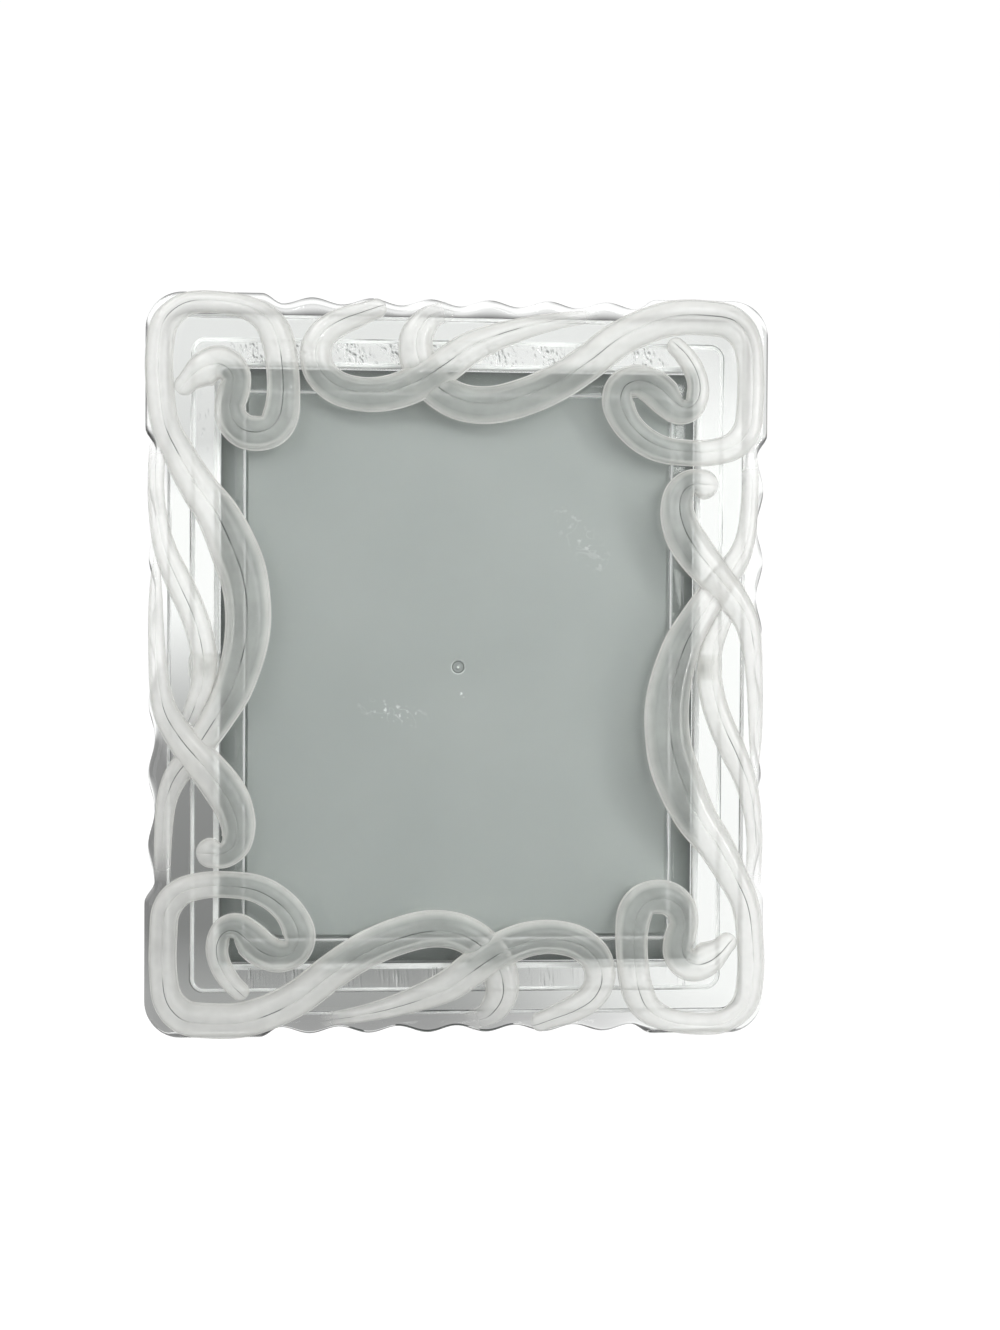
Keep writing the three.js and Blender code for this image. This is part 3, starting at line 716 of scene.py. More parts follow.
@dataclass(frozen=True)
class SatinStyrene(Finish):
    """Grey high-impact polystyrene from a spark-finished die: satin and scuffed, with painted shade on its
    flange and in its gate's recess, and painted highlights on the gate.
    """

    body: str = "#9BA19E"
    pale: str = "#A8ADAA"
    # the colour of real scuffs and of the painted highlights on the gate's tip and lip
    scuff_and_highlight: str = "#E4E8E6"
    # the colour of the painted shade on the flange and in the gate's recess
    painted_shade: str = "#4E5351"
    roughness: Span = (0.42, 0.58)
    cloud_mm: float = 60.0
    grain_mm: float = 0.9  # coarser than a real die's 0.1 mm, so that it shows
    grain_noise: Span = (0.3, 0.7)
    grain_depth_mm: float = 0.02
    grain_strength: float = 0.3
    wisp_mm: float = 12.0
    wisp_width: float = 0.012
    wisp_share: float = 0.4
    flake_mm: float = 3.0
    flake_noise: Span = (0.6, 0.68)
    speck_gap_mm: float = 24.0
    speck_mm: float = 0.4
    field: Span = (90.5, 115.9)
    # the width over which the flange darkens into painted shade
    flange: float = 12.0
    front: Span = (1.0, 3.0)
    far_off: float = 1000.0
    # the gate's tip, wall and wall width, then the painted shade share of its floor and the painted highlight
    # share of its lip
    gate: tuple[float, float, float] = (0.7, 2.5, 0.5)
    gate_floor: float = 0.15
    gate_lip: float = 0.55
    scuff_core: float = 0.3
    scuffs: tuple[Scuff, ...] = (
        Scuff(-28.0, -20.0, 17.0, 6.0, -0.2, 0.8),
        Scuff(54.0, 55.0, 22.0, 8.0, -0.9, 0.35),
        Scuff(2.4, -11.0, 3.0, 2.6, 0.3, 1.0),
    )

    def on_front(self, tree: Tree, place: Socket) -> Socket:
        """Flattens places on to the panel's front, and puts all that lies behind it far away.

        Args:
            tree: The material's node tree.
            place: The place on the face.

        Returns:
            The flattened place.
        """
        parts = add_node(tree, "SeparateXYZ", {0: place}).node.outputs
        first, last = self.front
        behind = add_node(tree, "MapRange", {"Value": parts["Z"], 1: first, 2: last, 3: self.far_off, 4: 0.0})
        return add_node(tree, "CombineXYZ", {"X": parts["X"], "Y": parts["Y"], "Z": behind})

    def gated(self, tree: Tree, place: Socket) -> tuple[Socket, Socket]:
        """Marks the gate: a recess in painted shade, darkest along its wall, with a painted highlight on its
        tip and lip.

        Args:
            tree: The material's node tree.
            place: The place on the panel's front.

        Returns:
            How deep in painted shade and how bright with painted highlight a point is.
        """
        tip, wall, width = self.gate
        away = add_node(tree, "VectorMath", {0: place}, out="Value", operation="LENGTH")
        floor = {"Value": away, 1: wall - width, 2: wall, 3: self.gate_floor, 4: 1.0}
        floor = add_node(tree, "MapRange", floor)
        within = add_node(tree, "MapRange", {"Value": away, 1: wall, 2: wall + width / 2, 3: 1.0, 4: 0.0})
        recess = add_node(tree, "Math", {0: floor, 1: within}, operation="MULTIPLY")
        dot = add_node(tree, "MapRange", {"Value": away, 1: tip / 2, 2: tip, 3: 1.0, 4: 0.0})
        lip = add_node(tree, "Math", {0: away, 1: wall + width, 2: width / 2}, operation="COMPARE")
        # painted highlight on the tip and the lip; painted shade in the recess
        bright = {0: lip, 1: self.gate_lip, 2: dot}
        return recess, add_node(tree, "Math", bright, operation="MULTIPLY_ADD", use_clamp=True)

    def rubbed(self, tree: Tree, place: Socket) -> Socket:
        """Scuffs the front: flakes and thin lines of noise within each patch, and specks all over.

        Args:
            tree: The material's node tree.
            place: The place on the panel's front.

        Returns:
            How far a point is scuffed.
        """
        wisp = {"Vector": place, "Scale": 1 / self.wisp_mm, "Detail": 2.0, "Distortion": 1.2}
        wisp = add_node(tree, "TexNoise", wisp)
        line = add_node(tree, "Math", {0: wisp, 1: 0.5, 2: self.wisp_width}, operation="COMPARE")
        flake = add_node(tree, "TexNoise", {"Vector": place, "Scale": 1 / self.flake_mm, "Detail": 2.0})
        first, last = self.flake_noise
        flake = add_node(tree, "MapRange", {"Value": flake, 1: first, 2: last})
        thin = {0: line, 1: self.wisp_share, 2: flake}
        thin = add_node(tree, "Math", thin, operation="MULTIPLY_ADD", use_clamp=True)
        dots = add_node(tree, "TexVoronoi", {"Vector": place, "Scale": 1 / self.speck_gap_mm})
        size = self.speck_mm / self.speck_gap_mm
        marked = add_node(tree, "MapRange", {"Value": dots, 1: size / 2, 2: size, 3: 1.0, 4: 0.0})
        for scuff in self.scuffs:
            inputs = {"Location": (scuff.x, scuff.y, 0.0), "Rotation": (0.0, 0.0, scuff.turn)}
            inputs |= {"Scale": (scuff.along, scuff.across, 1.0), "Vector": place}
            near = add_node(tree, "Mapping", inputs, vector_type="TEXTURE")
            away = add_node(tree, "VectorMath", {0: near}, out="Value", operation="LENGTH")
            patch = {"Value": away, 1: self.scuff_core, 2: 1.0, 3: scuff.strength, 4: 0.0}
            patch = add_node(tree, "MapRange", patch)
            marked = add_node(tree, "Math", {0: patch, 1: thin, 2: marked}, operation="MULTIPLY_ADD")
        return marked

    def inputs(self, tree: Tree) -> Inputs:
        """Clouds and grains the plastic, and lays painted shade, painted highlights and scuffs over it.

        Args:
            tree: The material's node tree.

        Returns:
            The main shader's inputs by name.
        """
        place = on_face(tree)
        front = self.on_front(tree, place)
        # painted shade: darker outwards over the flange, under the lip
        flange_shaded = add_node(tree, "MapRange", {"Value": outside(tree, place, self.field), 2: self.flange})
        recess, tip = self.gated(tree, front)
        cloud = add_node(tree, "TexNoise", {"Vector": place, "Scale": 1 / self.cloud_mm, "Detail": 3.0})
        colour = linear(self.body)
        layers = ((cloud, self.pale), (flange_shaded, self.painted_shade), (recess, self.painted_shade), (tip, self.scuff_and_highlight))
        for share, tone in (*layers, (self.rubbed(tree, front), self.scuff_and_highlight)):
            colour = add_node(tree, "Mix", {0: share, 6: colour, 7: linear(tone)}, **COLOURS)
        grain = add_node(tree, "TexNoise", {"Vector": place, "Scale": 1 / self.grain_mm, "Detail": 2.0})
        (first, last), (low, high) = self.grain_noise, self.roughness
        grained = {"Height": grain, "Strength": self.grain_strength, "Distance": self.grain_depth_mm * MM}
        return {
            "Base Color": colour,
            "Roughness": add_node(tree, "MapRange", {"Value": grain, 1: first, 2: last, 3: low, 4: high}),
            "Normal": add_node(tree, "Bump", grained),
        }


@dataclass(frozen=True)
class MouldedNylon(Finish):
    """Natural moulded nylon: waxy white and soft to the light, a little cloudy."""

    body: str = "#ECEDE9"
    cloud: str = "#DCDDD8"
    cloud_mm: float = 3.0
    roughness: Span = (0.4, 0.55)
    scatter: float = 0.2
    scatter_mm: float = 2.0

    def inputs(self, tree: Tree) -> Inputs:
        """Clouds the nylon's colour and its shine.

        Args:
            tree: The material's node tree.

        Returns:
            The main shader's inputs by name.
        """
        place = add_node(tree, "TexCoord", out="Object")
        cloud = add_node(tree, "TexNoise", {"Vector": place, "Scale": per_mm(self.cloud_mm), "Detail": 3.0})
        tones = {0: cloud, 6: linear(self.body), 7: linear(self.cloud)}
        low, high = self.roughness
        return {
            "Base Color": add_node(tree, "Mix", tones, **COLOURS),
            "Roughness": add_node(tree, "MapRange", {"Value": cloud, 3: low, 4: high}),
            "Subsurface Weight": self.scatter,
            "Subsurface Radius": (self.scatter_mm * MM,) * 3,
        }


@dataclass(frozen=True)
class PlatedSteel(Finish):
    """Zinc-plated mild steel wire: bright, with a slightly uneven plating."""

    plate: str = "#C4C6C8"
    dull: str = "#9DA1A5"
    plating_mm: float = 1.6
    roughness: Span = (0.22, 0.42)

    def inputs(self, tree: Tree) -> Inputs:
        """Makes the plating's colour and shine uneven.

        Args:
            tree: The material's node tree.

        Returns:
            The main shader's inputs by name.
        """
        place = add_node(tree, "TexCoord", out="Object")
        uneven = {"Vector": place, "Scale": per_mm(self.plating_mm), "Detail": 4.0}
        uneven = add_node(tree, "TexNoise", uneven)
        tones = {0: uneven, 6: linear(self.plate), 7: linear(self.dull)}
        low, high = self.roughness
        return {
            "Base Color": add_node(tree, "Mix", tones, **COLOURS),
            "Roughness": add_node(tree, "MapRange", {"Value": uneven, 3: low, 4: high}),
            "Metallic": 1.0,
        }


# The clear frames

OUTER = Rectangle(268.0, 318.8, 16.0)
APERTURE = Rectangle(182.6, 233.4, 2.0)
POCKET = Rectangle(205.0, 255.8, 2.5)
LAND = Rectangle(229.0, 279.8, 6.0)
SKIRT = Rectangle(249.0, 299.8, 9.0)


@dataclass(frozen=True)
class FrontFrame:
    """The clear moulded front: a scalloped rim, a flat face, a lip over the window and a skirt behind."""

    face_back: float = 7.8
    face_front: float = 11.8
    rim_round: float = 4.5
    lip_round: float = 1.3
    block_width: float = 58.0
    block_height: float = 67.0
    block_slope: float = 8.6
    scallops: int = 6
    crest_inset: float = 1.5
    scallop_depth: float = 2.8
    foot_round: float = 0.5
    under_ease: float = 0.3
    hem: float = 0.4
    # flat rings on the face's back, each with its inset from the skirt and its painted light: 1 a white
    # painted highlight line, under 0 a dark painted shade line
    painted_rings: tuple[Span, ...] = ((1.9, 0.0), (1.5, -0.9), (1.1, 1.0))
    skirt_middle: float = 4.0

    def rim_inset(self, distance: np.ndarray, straight: float) -> np.ndarray:
        """Gives how far the rim lies in from the outer edge along a side.

        Between the corner blocks it is a cosine wave of whole scallops. Beyond them it eases out to nothing.

        Args:
            distance: Distances from the side's middle.
            straight: The length between the corner blocks.

        Returns:
            The inset at each distance.
        """
        turn = (distance / straight + 0.5) * self.scallops
        wave = self.crest_inset + self.scallop_depth / 2 * (1 + np.cos(2 * np.pi * turn))
        past = np.clip((np.abs(distance) - straight / 2) / self.block_slope, 0, 1)
        ease = (self.crest_inset + self.scallop_depth) * (1 - past * past * (3 - 2 * past))
        return np.where(np.abs(distance) <= straight / 2, wave, ease)

    def rim(self) -> np.ndarray:
        """Gives the scalloped outline: the outer rectangle with its sides moved in by the rim's inset.

        Returns:
            The points, two numbers each.
        """
        outline = OUTER.outline()
        x, y = np.abs(outline).T
        distance = np.where(x > y * OUTER.width / OUTER.height, outline[:, 1], outline[:, 0])
        upright = np.isclose(x, OUTER.width / 2)
        level = np.isclose(y, OUTER.height / 2)
        inset = np.where(upright, self.rim_inset(distance, OUTER.height - 2 * self.block_height), 0.0)
        inset = np.where(level, self.rim_inset(distance, OUTER.width - 2 * self.block_width), inset)
        outline[:, 0] -= np.where(upright, np.sign(outline[:, 0]) * inset, 0)
        outline[:, 1] -= np.where(level, np.sign(outline[:, 1]) * inset, 0)
        return outline

    def build(self, material: Material) -> None:
        """Builds the ring.

        Its section runs up the wall, over the face, round the lip and back inside the skirt. A narrow hem of
        faces beside each round keeps the flats flat.

        Args:
            material: The ring's material.
        """
        rim, top, back, hem = self.rim(), self.face_front, self.face_back, self.hem
        r, lip, ease, foot = self.rim_round, self.lip_round, self.under_ease, self.foot_round
        rows: list[Row] = [(inwards(rim, foot), 0.0, 0.0), (inwards(rim, 0.3 * foot), 0.3 * foot, 0.0)]
        rows += [(rim, z, 0.0) for z in (foot, *np.linspace(foot + hem, top - r - hem, 3))]
        rows += [(inwards(rim, r * (1 - cos)), top - r + r * sin, 0.0) for sin, cos in quarter_turn(8)]
        flat, edge = inwards(rim, r + hem), APERTURE.grown(lip + hem).outline()
        rows += [(line, top, 0.0) for line in [flat, *between(flat, edge, 8), edge]]
        # the lip's round is painted white towards the hole, as a highlight line
        for sin, cos in quarter_turn(5):
            rows += [(APERTURE.grown(lip * (1 - sin)).outline(), top - lip + lip * cos, sin)]
        hole, skirt = APERTURE.outline(), SKIRT.outline()
        rows += [(hole, z, 0.0) for z in (top - lip - ease, back + ease + hem, back + ease)]
        under, wall = APERTURE.grown(ease).outline(), SKIRT.grown(-hem).outline()
        rows += [(line, back, 0.0) for line in [under, *between(under, wall, 4)]]
        # the rings, the skirt's wall and its round carry painted highlight lines, and one ring carries
        # painted shade
        rows += [(SKIRT.grown(-inset).outline(), back, painted_edge) for inset, painted_edge in self.painted_rings]
        rows += [(wall, back, 1.0), (skirt, back - hem, 1.0)]
        rows += [(skirt, z, 0.0) for z in (back - foot - hem, self.skirt_middle, hem)]
        rows += [(SKIRT.grown(hem).outline(), 0.0, 0.0)]
        piece = closed_ring("front_frame_clear", rows)
        piece.visible_shadow = False
        settle(piece, Body.FRAME, Slot.CLEAR, material, "front_frame")


@dataclass(frozen=True)
class RearFrame:
    """The clear ring behind the face: a base, and a land that is cemented under the face."""

    base_front: float = 4.5
    land_front: float = 7.5
    edge_round: float = 1.0
    base_round: float = 0.5
    ease: float = 0.3
    hem: float = 0.4
    # widths of the flats beside the pocket's round and inside the land's edge, painted white with the rounds
    # as highlight lines
    painted_edge: Span = (1.1, 0.5)
    side_gap: float = 0.4

    def build(self, material: Material) -> None:
        """Builds the ring.

        Its section runs up the pocket's wall, over the land and the base, and across the back.

        Args:
            material: The ring's material.
        """
        rim = SKIRT.grown(-self.side_gap)
        front, base, r, round_off = self.land_front, self.base_front, self.edge_round, self.base_round
        ease, hem = self.ease, self.hem
        within, without = (r + flat for flat in self.painted_edge)
        rows: list[Row] = [(POCKET.grown(ease).outline(), 0.0, 0.0), (POCKET.outline(), ease, 0.0)]
        rows += [(POCKET.outline(), front - r - hem / 2, 0.0)]
        # the pocket's round and the land's edges are painted white as highlight lines
        for sin, cos in quarter_turn(5):
            rows += [(POCKET.grown(r * (1 - cos)).outline(), front - r + r * sin, 1.0)]
        rows += [(POCKET.grown(within).outline(), front, 1.0)]
        inner, outer = POCKET.grown(within + hem).outline(), LAND.grown(-without - hem).outline()
        rows += [(line, front, 0.0) for line in [inner, *between(inner, outer, 3), outer]]
        rows += [(LAND.grown(-without).outline(), front, 1.0)]
        for sin, cos in quarter_turn(5):
            rows += [(LAND.grown(-r * (1 - sin)).outline(), front - r + r * cos, 1.0)]
        # the corner where the land meets the base is painted dark as shade
        rows += [(LAND.outline(), base + round_off, 0.0), (LAND.grown(round_off).outline(), base, -1.0)]
        rows += [(line.outline(), base, 0.0) for line in (LAND.grown(round_off + hem), rim.grown(-2 * hem))]
        for sin, cos in quarter_turn(3):
            rows += [(rim.grown(-round_off * (1 - sin)).outline(), base - round_off + round_off * cos, 0.0)]
        rows += [(rim.outline(), round_off, 0.0), (rim.grown(-hem).outline(), 0.0, 0.0)]
        back, hole = rim.grown(-2 * hem).outline(), POCKET.grown(ease + hem).outline()
        rows += [(line, 0.0, 0.0) for line in [back, *between(back, hole, 3), hole]]
        piece = closed_ring("rear_frame_clear", rows)
        piece.visible_shadow = False
        settle(piece, Body.FRAME, Slot.CLEAR, material, "rear_frame")


class Rail(Enum):
    """The rails of the land whose cement shows, each with its middle and half size on the face."""

    TOP = (0.0, 133.9, 101.0, 4.4)
    LEFT = (-108.5, 92.0, 4.4, 32.0)
    BOTTOM = (0.0, -133.9, 101.0, 4.4)


@dataclass(frozen=True)
class Marks:
    """Marks in a rail's cement: how many on a square centimetre, and their least and most half sizes."""

    per_cm2: float
    wide: Span
    tall: Span
    deep: Span


BUBBLES = Marks(36.0, (0.25, 0.7), (0.4, 1.4), (0.06, 0.24))
FEW_BUBBLES = Marks(5.0, (0.25, 0.6), (0.4, 1.6), (0.03, 0.1))
RUNS = Marks(2.5, (0.2, 0.4), (2.0, 5.0), (0.05, 0.16))
STREAKS = Marks(14.0, (0.16, 0.34), (1.5, 4.0), (0.04, 0.14))


@dataclass(frozen=True)
class Cement:
    """The dried cement on the land: bubbles and runs at the top, few on the left and streaks below."""

    base: float = 7.51
    film: float = 0.05
    ceiling: float = 7.78
    spacing: float = 0.3
    patch: float = 21.0
    across_light: float = 0.5
    seed: int = 8

    def relief(self, x: np.ndarray, y: np.ndarray, rail: Rail) -> np.ndarray:
        """Gives the film's height over its thinnest, at each x of a grid's columns and y of its rows.

        Each mark is a bell shape about a random place. The marks come in patches: a mark is the deeper the
        higher a slow wave along the rail stands where it lies.

        Args:
            x: Distances across the face.
            y: Distances up the face.
            rail: The rail that it is on.

        Returns:
            The height at each row and column.
        """
        chance = np.random.default_rng(self.seed)
        middle_x, middle_y, half_x, half_y = rail.value
        height = np.zeros((len(y), len(x)))
        kinds = {Rail.TOP: (BUBBLES, RUNS), Rail.LEFT: (FEW_BUBBLES,), Rail.BOTTOM: (STREAKS,)}
        for marks in kinds[rail]:
            count = int(marks.per_cm2 * half_x * half_y * 4 / 100)
            at_x = chance.uniform(middle_x - half_x, middle_x + half_x, count)
            at_y = chance.uniform(middle_y - half_y, middle_y + half_y, count)
            spans = (marks.wide, marks.tall, marks.deep)
            wide, tall, deep = (chance.uniform(*span, count) for span in spans)
            deep *= 0.5 + 0.5 * np.sin((at_x + 0.7 * at_y) * 2 * np.pi / self.patch)
            across = np.exp(-(((x[:, None] - at_x) / wide) ** 2)) * deep
            up = np.exp(-(((y[:, None] - at_y) / tall) ** 2))
            height += up @ across.T
        return np.clip(height, 0, self.ceiling - self.base - self.film)

    def build(self, material: Material) -> None:
        """Builds each rail's film: its relief above, closed by a flat underside.

        Each point is told how far it slopes towards a light that comes from above and less from the side, for
        its material to paint as highlight and shade.

        Args:
            material: The film's material.
        """
        for rail in Rail:
            middle_x, middle_y, half_x, half_y = rail.value
            x = middle_x + np.linspace(-half_x, half_x, int(2 * half_x / self.spacing))
            y = middle_y + np.linspace(-half_y, half_y, int(2 * half_y / self.spacing))
            height = self.relief(x, y, rail)
            slope_y, slope_x = np.gradient(height, y, x)
            columns, rows = len(x), len(y)
            up = self.base + self.film + height.T
            top = np.stack(np.broadcast_arrays(x[:, None], y[None, :], up), axis=-1)
            under = top[:, ::-1].copy()
            under[..., 2] = self.base
            points = np.concatenate([top, under], axis=1).reshape(-1, 3)
            glint = (self.across_light * slope_x + slope_y).T
            glint = np.concatenate([glint, np.zeros((columns, rows))], axis=1).reshape(-1)
            step = np.arange(rows - 1)
            first = np.column_stack([step, step + 1, 2 * rows - 2 - step, 2 * rows - 1 - step])
            last = first[:, ::-1] + (columns - 1) * 2 * rows
            quads = grid_quads(columns, 2 * rows, close_columns=True)
            piece = new_piece(f"cement_{rail.name.lower()}", points, [quads, first, last], glint=glint)
            piece.visible_shadow = False
            settle(piece, Body.FRAME, Slot.CLEAR, material)


# The scrollwork


class Anchor(Enum):
    """Where a strand's drawn points are measured from."""

    TOP_LEFT = "distances from the left and top edges"
    BOTTOM_LEFT = "distances from the left and bottom edges"
    LEFT_SIDE = "distance from the left edge and share of the half height"
    TOP_SIDE = "distance from the top edge and share of the half width"
    BOTTOM_SIDE = "distance from the bottom edge and share of the half width"


@dataclass(frozen=True)
class Run:
    """Part of a strand: two measures, the width and any lift for each of its points."""

    anchor: Anchor
    drawn: tuple[tuple[float, ...], ...]

    def points(self) -> np.ndarray:
        """Gives each point's place on the face, with its width and lift.

        Returns:
            Rows of x, y, width and lift.
        """
        a, b, width, lift = np.array([(*row, 0.0)[:4] for row in self.drawn]).T
        half_width, half_height = OUTER.width / 2, OUTER.height / 2
        x, y = {
            Anchor.TOP_LEFT: (a - half_width, half_height - b),
            Anchor.BOTTOM_LEFT: (a - half_width, b - half_height),
            Anchor.LEFT_SIDE: (a - half_width, b * half_height),
            Anchor.TOP_SIDE: (b * half_width, half_height - a),
            Anchor.BOTTOM_SIDE: (b * half_width, a - half_height),
        }[self.anchor]
        return np.column_stack([x, y, width, lift])


SCROLL_TOP_LEFT = (
    Run(Anchor.TOP_LEFT, (
        (16.8, 40.2, 9), (20.8, 36.4, 13.6), (25.8, 33.2, 17), (31, 32, 18.2), (34.7, 33.2, 17.6),
        (37.1, 36.2, 16.2), (37.7, 40, 14.8), (37.1, 44.2, 13.8), (36.1, 49, 13.8), (37.4, 55, 14.6),
        (41.8, 59.2, 15), (47.7, 60.2, 15.2), (53.4, 58.4, 15.6), (57, 53.6, 16), (58.4, 46, 15.2),
        (58.2, 33.5, 14), (56.2, 21, 14.6), (52, 12.4, 13.6), (44, 7.4, 11.4), (31.8, 5, 9.6),
        (17.6, 6, 10.8), (8.8, 13.4, 12), (6.2, 26.7, 12), (6.6, 41.7, 12), (8.8, 56.8, 12.6),
    )),
    Run(Anchor.LEFT_SIDE, (
        (14.6, 0.565, 14.6), (22.6, 0.478, 16.8), (30.8, 0.406, 19.4), (37.4, 0.32, 21.2), (42, 0.239, 21),
        (43.8, 0.159, 19.8), (43.6, 0.089, 19.6), (41.3, 0.013, 18.6), (37, -0.067, 17),
        (31.4, -0.129, 15.6), (25.8, -0.185, 14.4), (19.8, -0.242, 13.2), (13.3, -0.298, 11.4),
        (9.8, -0.358, 9.4), (8.4, -0.444, 8), (8, -0.524, 7.4), (8, -0.556, 7),
    )),
)
SCROLL_BOTTOM_LEFT = (
    Run(Anchor.BOTTOM_LEFT, (
        (41, 20.6, 8.2), (37.2, 24.4, 9.2), (33, 31, 9.4), (31.2, 37.4, 9.8), (31.8, 42.8, 10.6),
        (34.8, 46.8, 13), (39.4, 47.2, 14.8), (44.4, 43.6, 15.8), (50, 38.8, 16), (57.2, 36.2, 15.6),
        (63.6, 38.4, 15.2), (65.9, 44.6, 15), (63.2, 52.4, 13.8), (57, 59.4, 12.8), (48.2, 64.4, 12.4),
        (37.4, 66.2, 11.6), (25.4, 66, 11.6), (15.4, 63, 12.4), (9.8, 56, 12.6), (8.4, 44, 12),
        (8.4, 29.4, 12.2), (10.6, 17, 14.4), (17, 10, 15.2), (29.2, 8, 15.4), (42.1, 8.4, 15.4),
    )),
    Run(Anchor.BOTTOM_SIDE, (
        (11.6, -0.603, 15.4), (18.1, -0.506, 15.6), (28, -0.41, 15.8), (36.6, -0.313, 16.2),
        (43.4, -0.2, 16.4), (46.9, -0.087, 16.4), (45.2, 0.01, 16.2), (38.3, 0.09, 15.8),
        (28.8, 0.135, 15.4), (18.6, 0.142, 15.2), (10.6, 0.104, 13), (7.4, 0.052, 9),
    )),
)
TENDRIL_TOP = (
    Run(Anchor.TOP_SIDE, (
        (8.2, 0.423, 6), (10.3, 0.316, 8), (13.8, 0.203, 10.6), (18.1, 0.106, 13, 0.1),
        (23.2, 0.026, 14.8, 0.8), (31, -0.055, 15.6, 1), (37.8, -0.135, 16, 0.8), (42.1, -0.223, 15.6, 0.1),
        (43, -0.313, 15), (40, -0.397, 14.6), (33.5, -0.448, 14.2), (24.5, -0.461, 13.8),
        (17.2, -0.435, 13), (12, -0.377, 12), (9, -0.319, 10.8), (6.4, -0.268, 8.6),
    )),
)
TENDRIL_LEFT = (
    Run(Anchor.LEFT_SIDE, (
        (5.6, 0.3, 3.2), (5, 0.25, 4.8), (4.9, 0.19, 6.2), (5, 0.112, 7), (5.6, 0.027, 8),
        (6.8, -0.054, 9.8, 0.1), (9.8, -0.126, 12, 0.8), (15.9, -0.188, 14.6, 1), (23.7, -0.247, 16.2, 1),
        (32, -0.312, 17.6, 0.4), (37.6, -0.371, 17.4), (40, -0.43, 15.6), (38.6, -0.474, 14),
        (34, -0.497, 13.6), (28.6, -0.497, 13.6),
    )),
)
STRAND_LEFT = (
    Run(Anchor.LEFT_SIDE, (
        (5.4, 0.58, 7), (5, 0.52, 7), (5, 0.457, 7.4), (6.2, 0.385, 8.8), (9.2, 0.305, 10.6),
        (14.4, 0.228, 12), (19.4, 0.161, 11.8), (23.4, 0.089, 11.4), (25.4, 0.013, 11.2),
        (24.5, -0.054, 10.4), (21.1, -0.116, 9.4), (18.1, -0.159, 8.6),
    )),
)


def smooth_curve(points: np.ndarray, steps: int) -> tuple[np.ndarray, np.ndarray]:
    """Runs a centripetal Catmull-Rom curve through points.

    On each span it is the cubic between two points whose end slopes come from the points beyond, weighted by
    the square roots of the distances between them.

    Args:
        points: The points, in rows.
        steps: How many steps each span takes.

    Returns:
        The curve's points and their slopes.
    """
    line = np.vstack([2 * points[:1] - points[1:2], points, 2 * points[-1:] - points[-2:-1]])
    p0, p1, p2, p3 = line[:-3], line[1:-2], line[2:-1], line[3:]
    spans = ((p0, p1), (p1, p2), (p2, p3))
    d0, d1, d2 = (np.sqrt(np.linalg.norm(b - a, axis=1, keepdims=True)) for a, b in spans)
    start = ((p1 - p0) / d0 - (p2 - p0) / (d0 + d1) + (p2 - p1) / d1) * d1
    end = ((p2 - p1) / d1 - (p3 - p1) / (d1 + d2) + (p3 - p2) / d2) * d1
    square, cube = 3 * (p2 - p1) - 2 * start - end, 2 * (p1 - p2) + start + end
    t = np.linspace(0, 1, steps, endpoint=False)[None, :, None]
    curve = p1[:, None] + t * (start[:, None] + t * (square[:, None] + t * cube[:, None]))
    slope = start[:, None] + t * (2 * square[:, None] + t * 3 * cube[:, None])
    width = points.shape[1]
    curve = np.vstack([curve.reshape(-1, width), points[-1:]])
    slope = np.vstack([slope.reshape(-1, width), (start + 2 * square + 3 * cube)[-1:]])
    return curve, slope


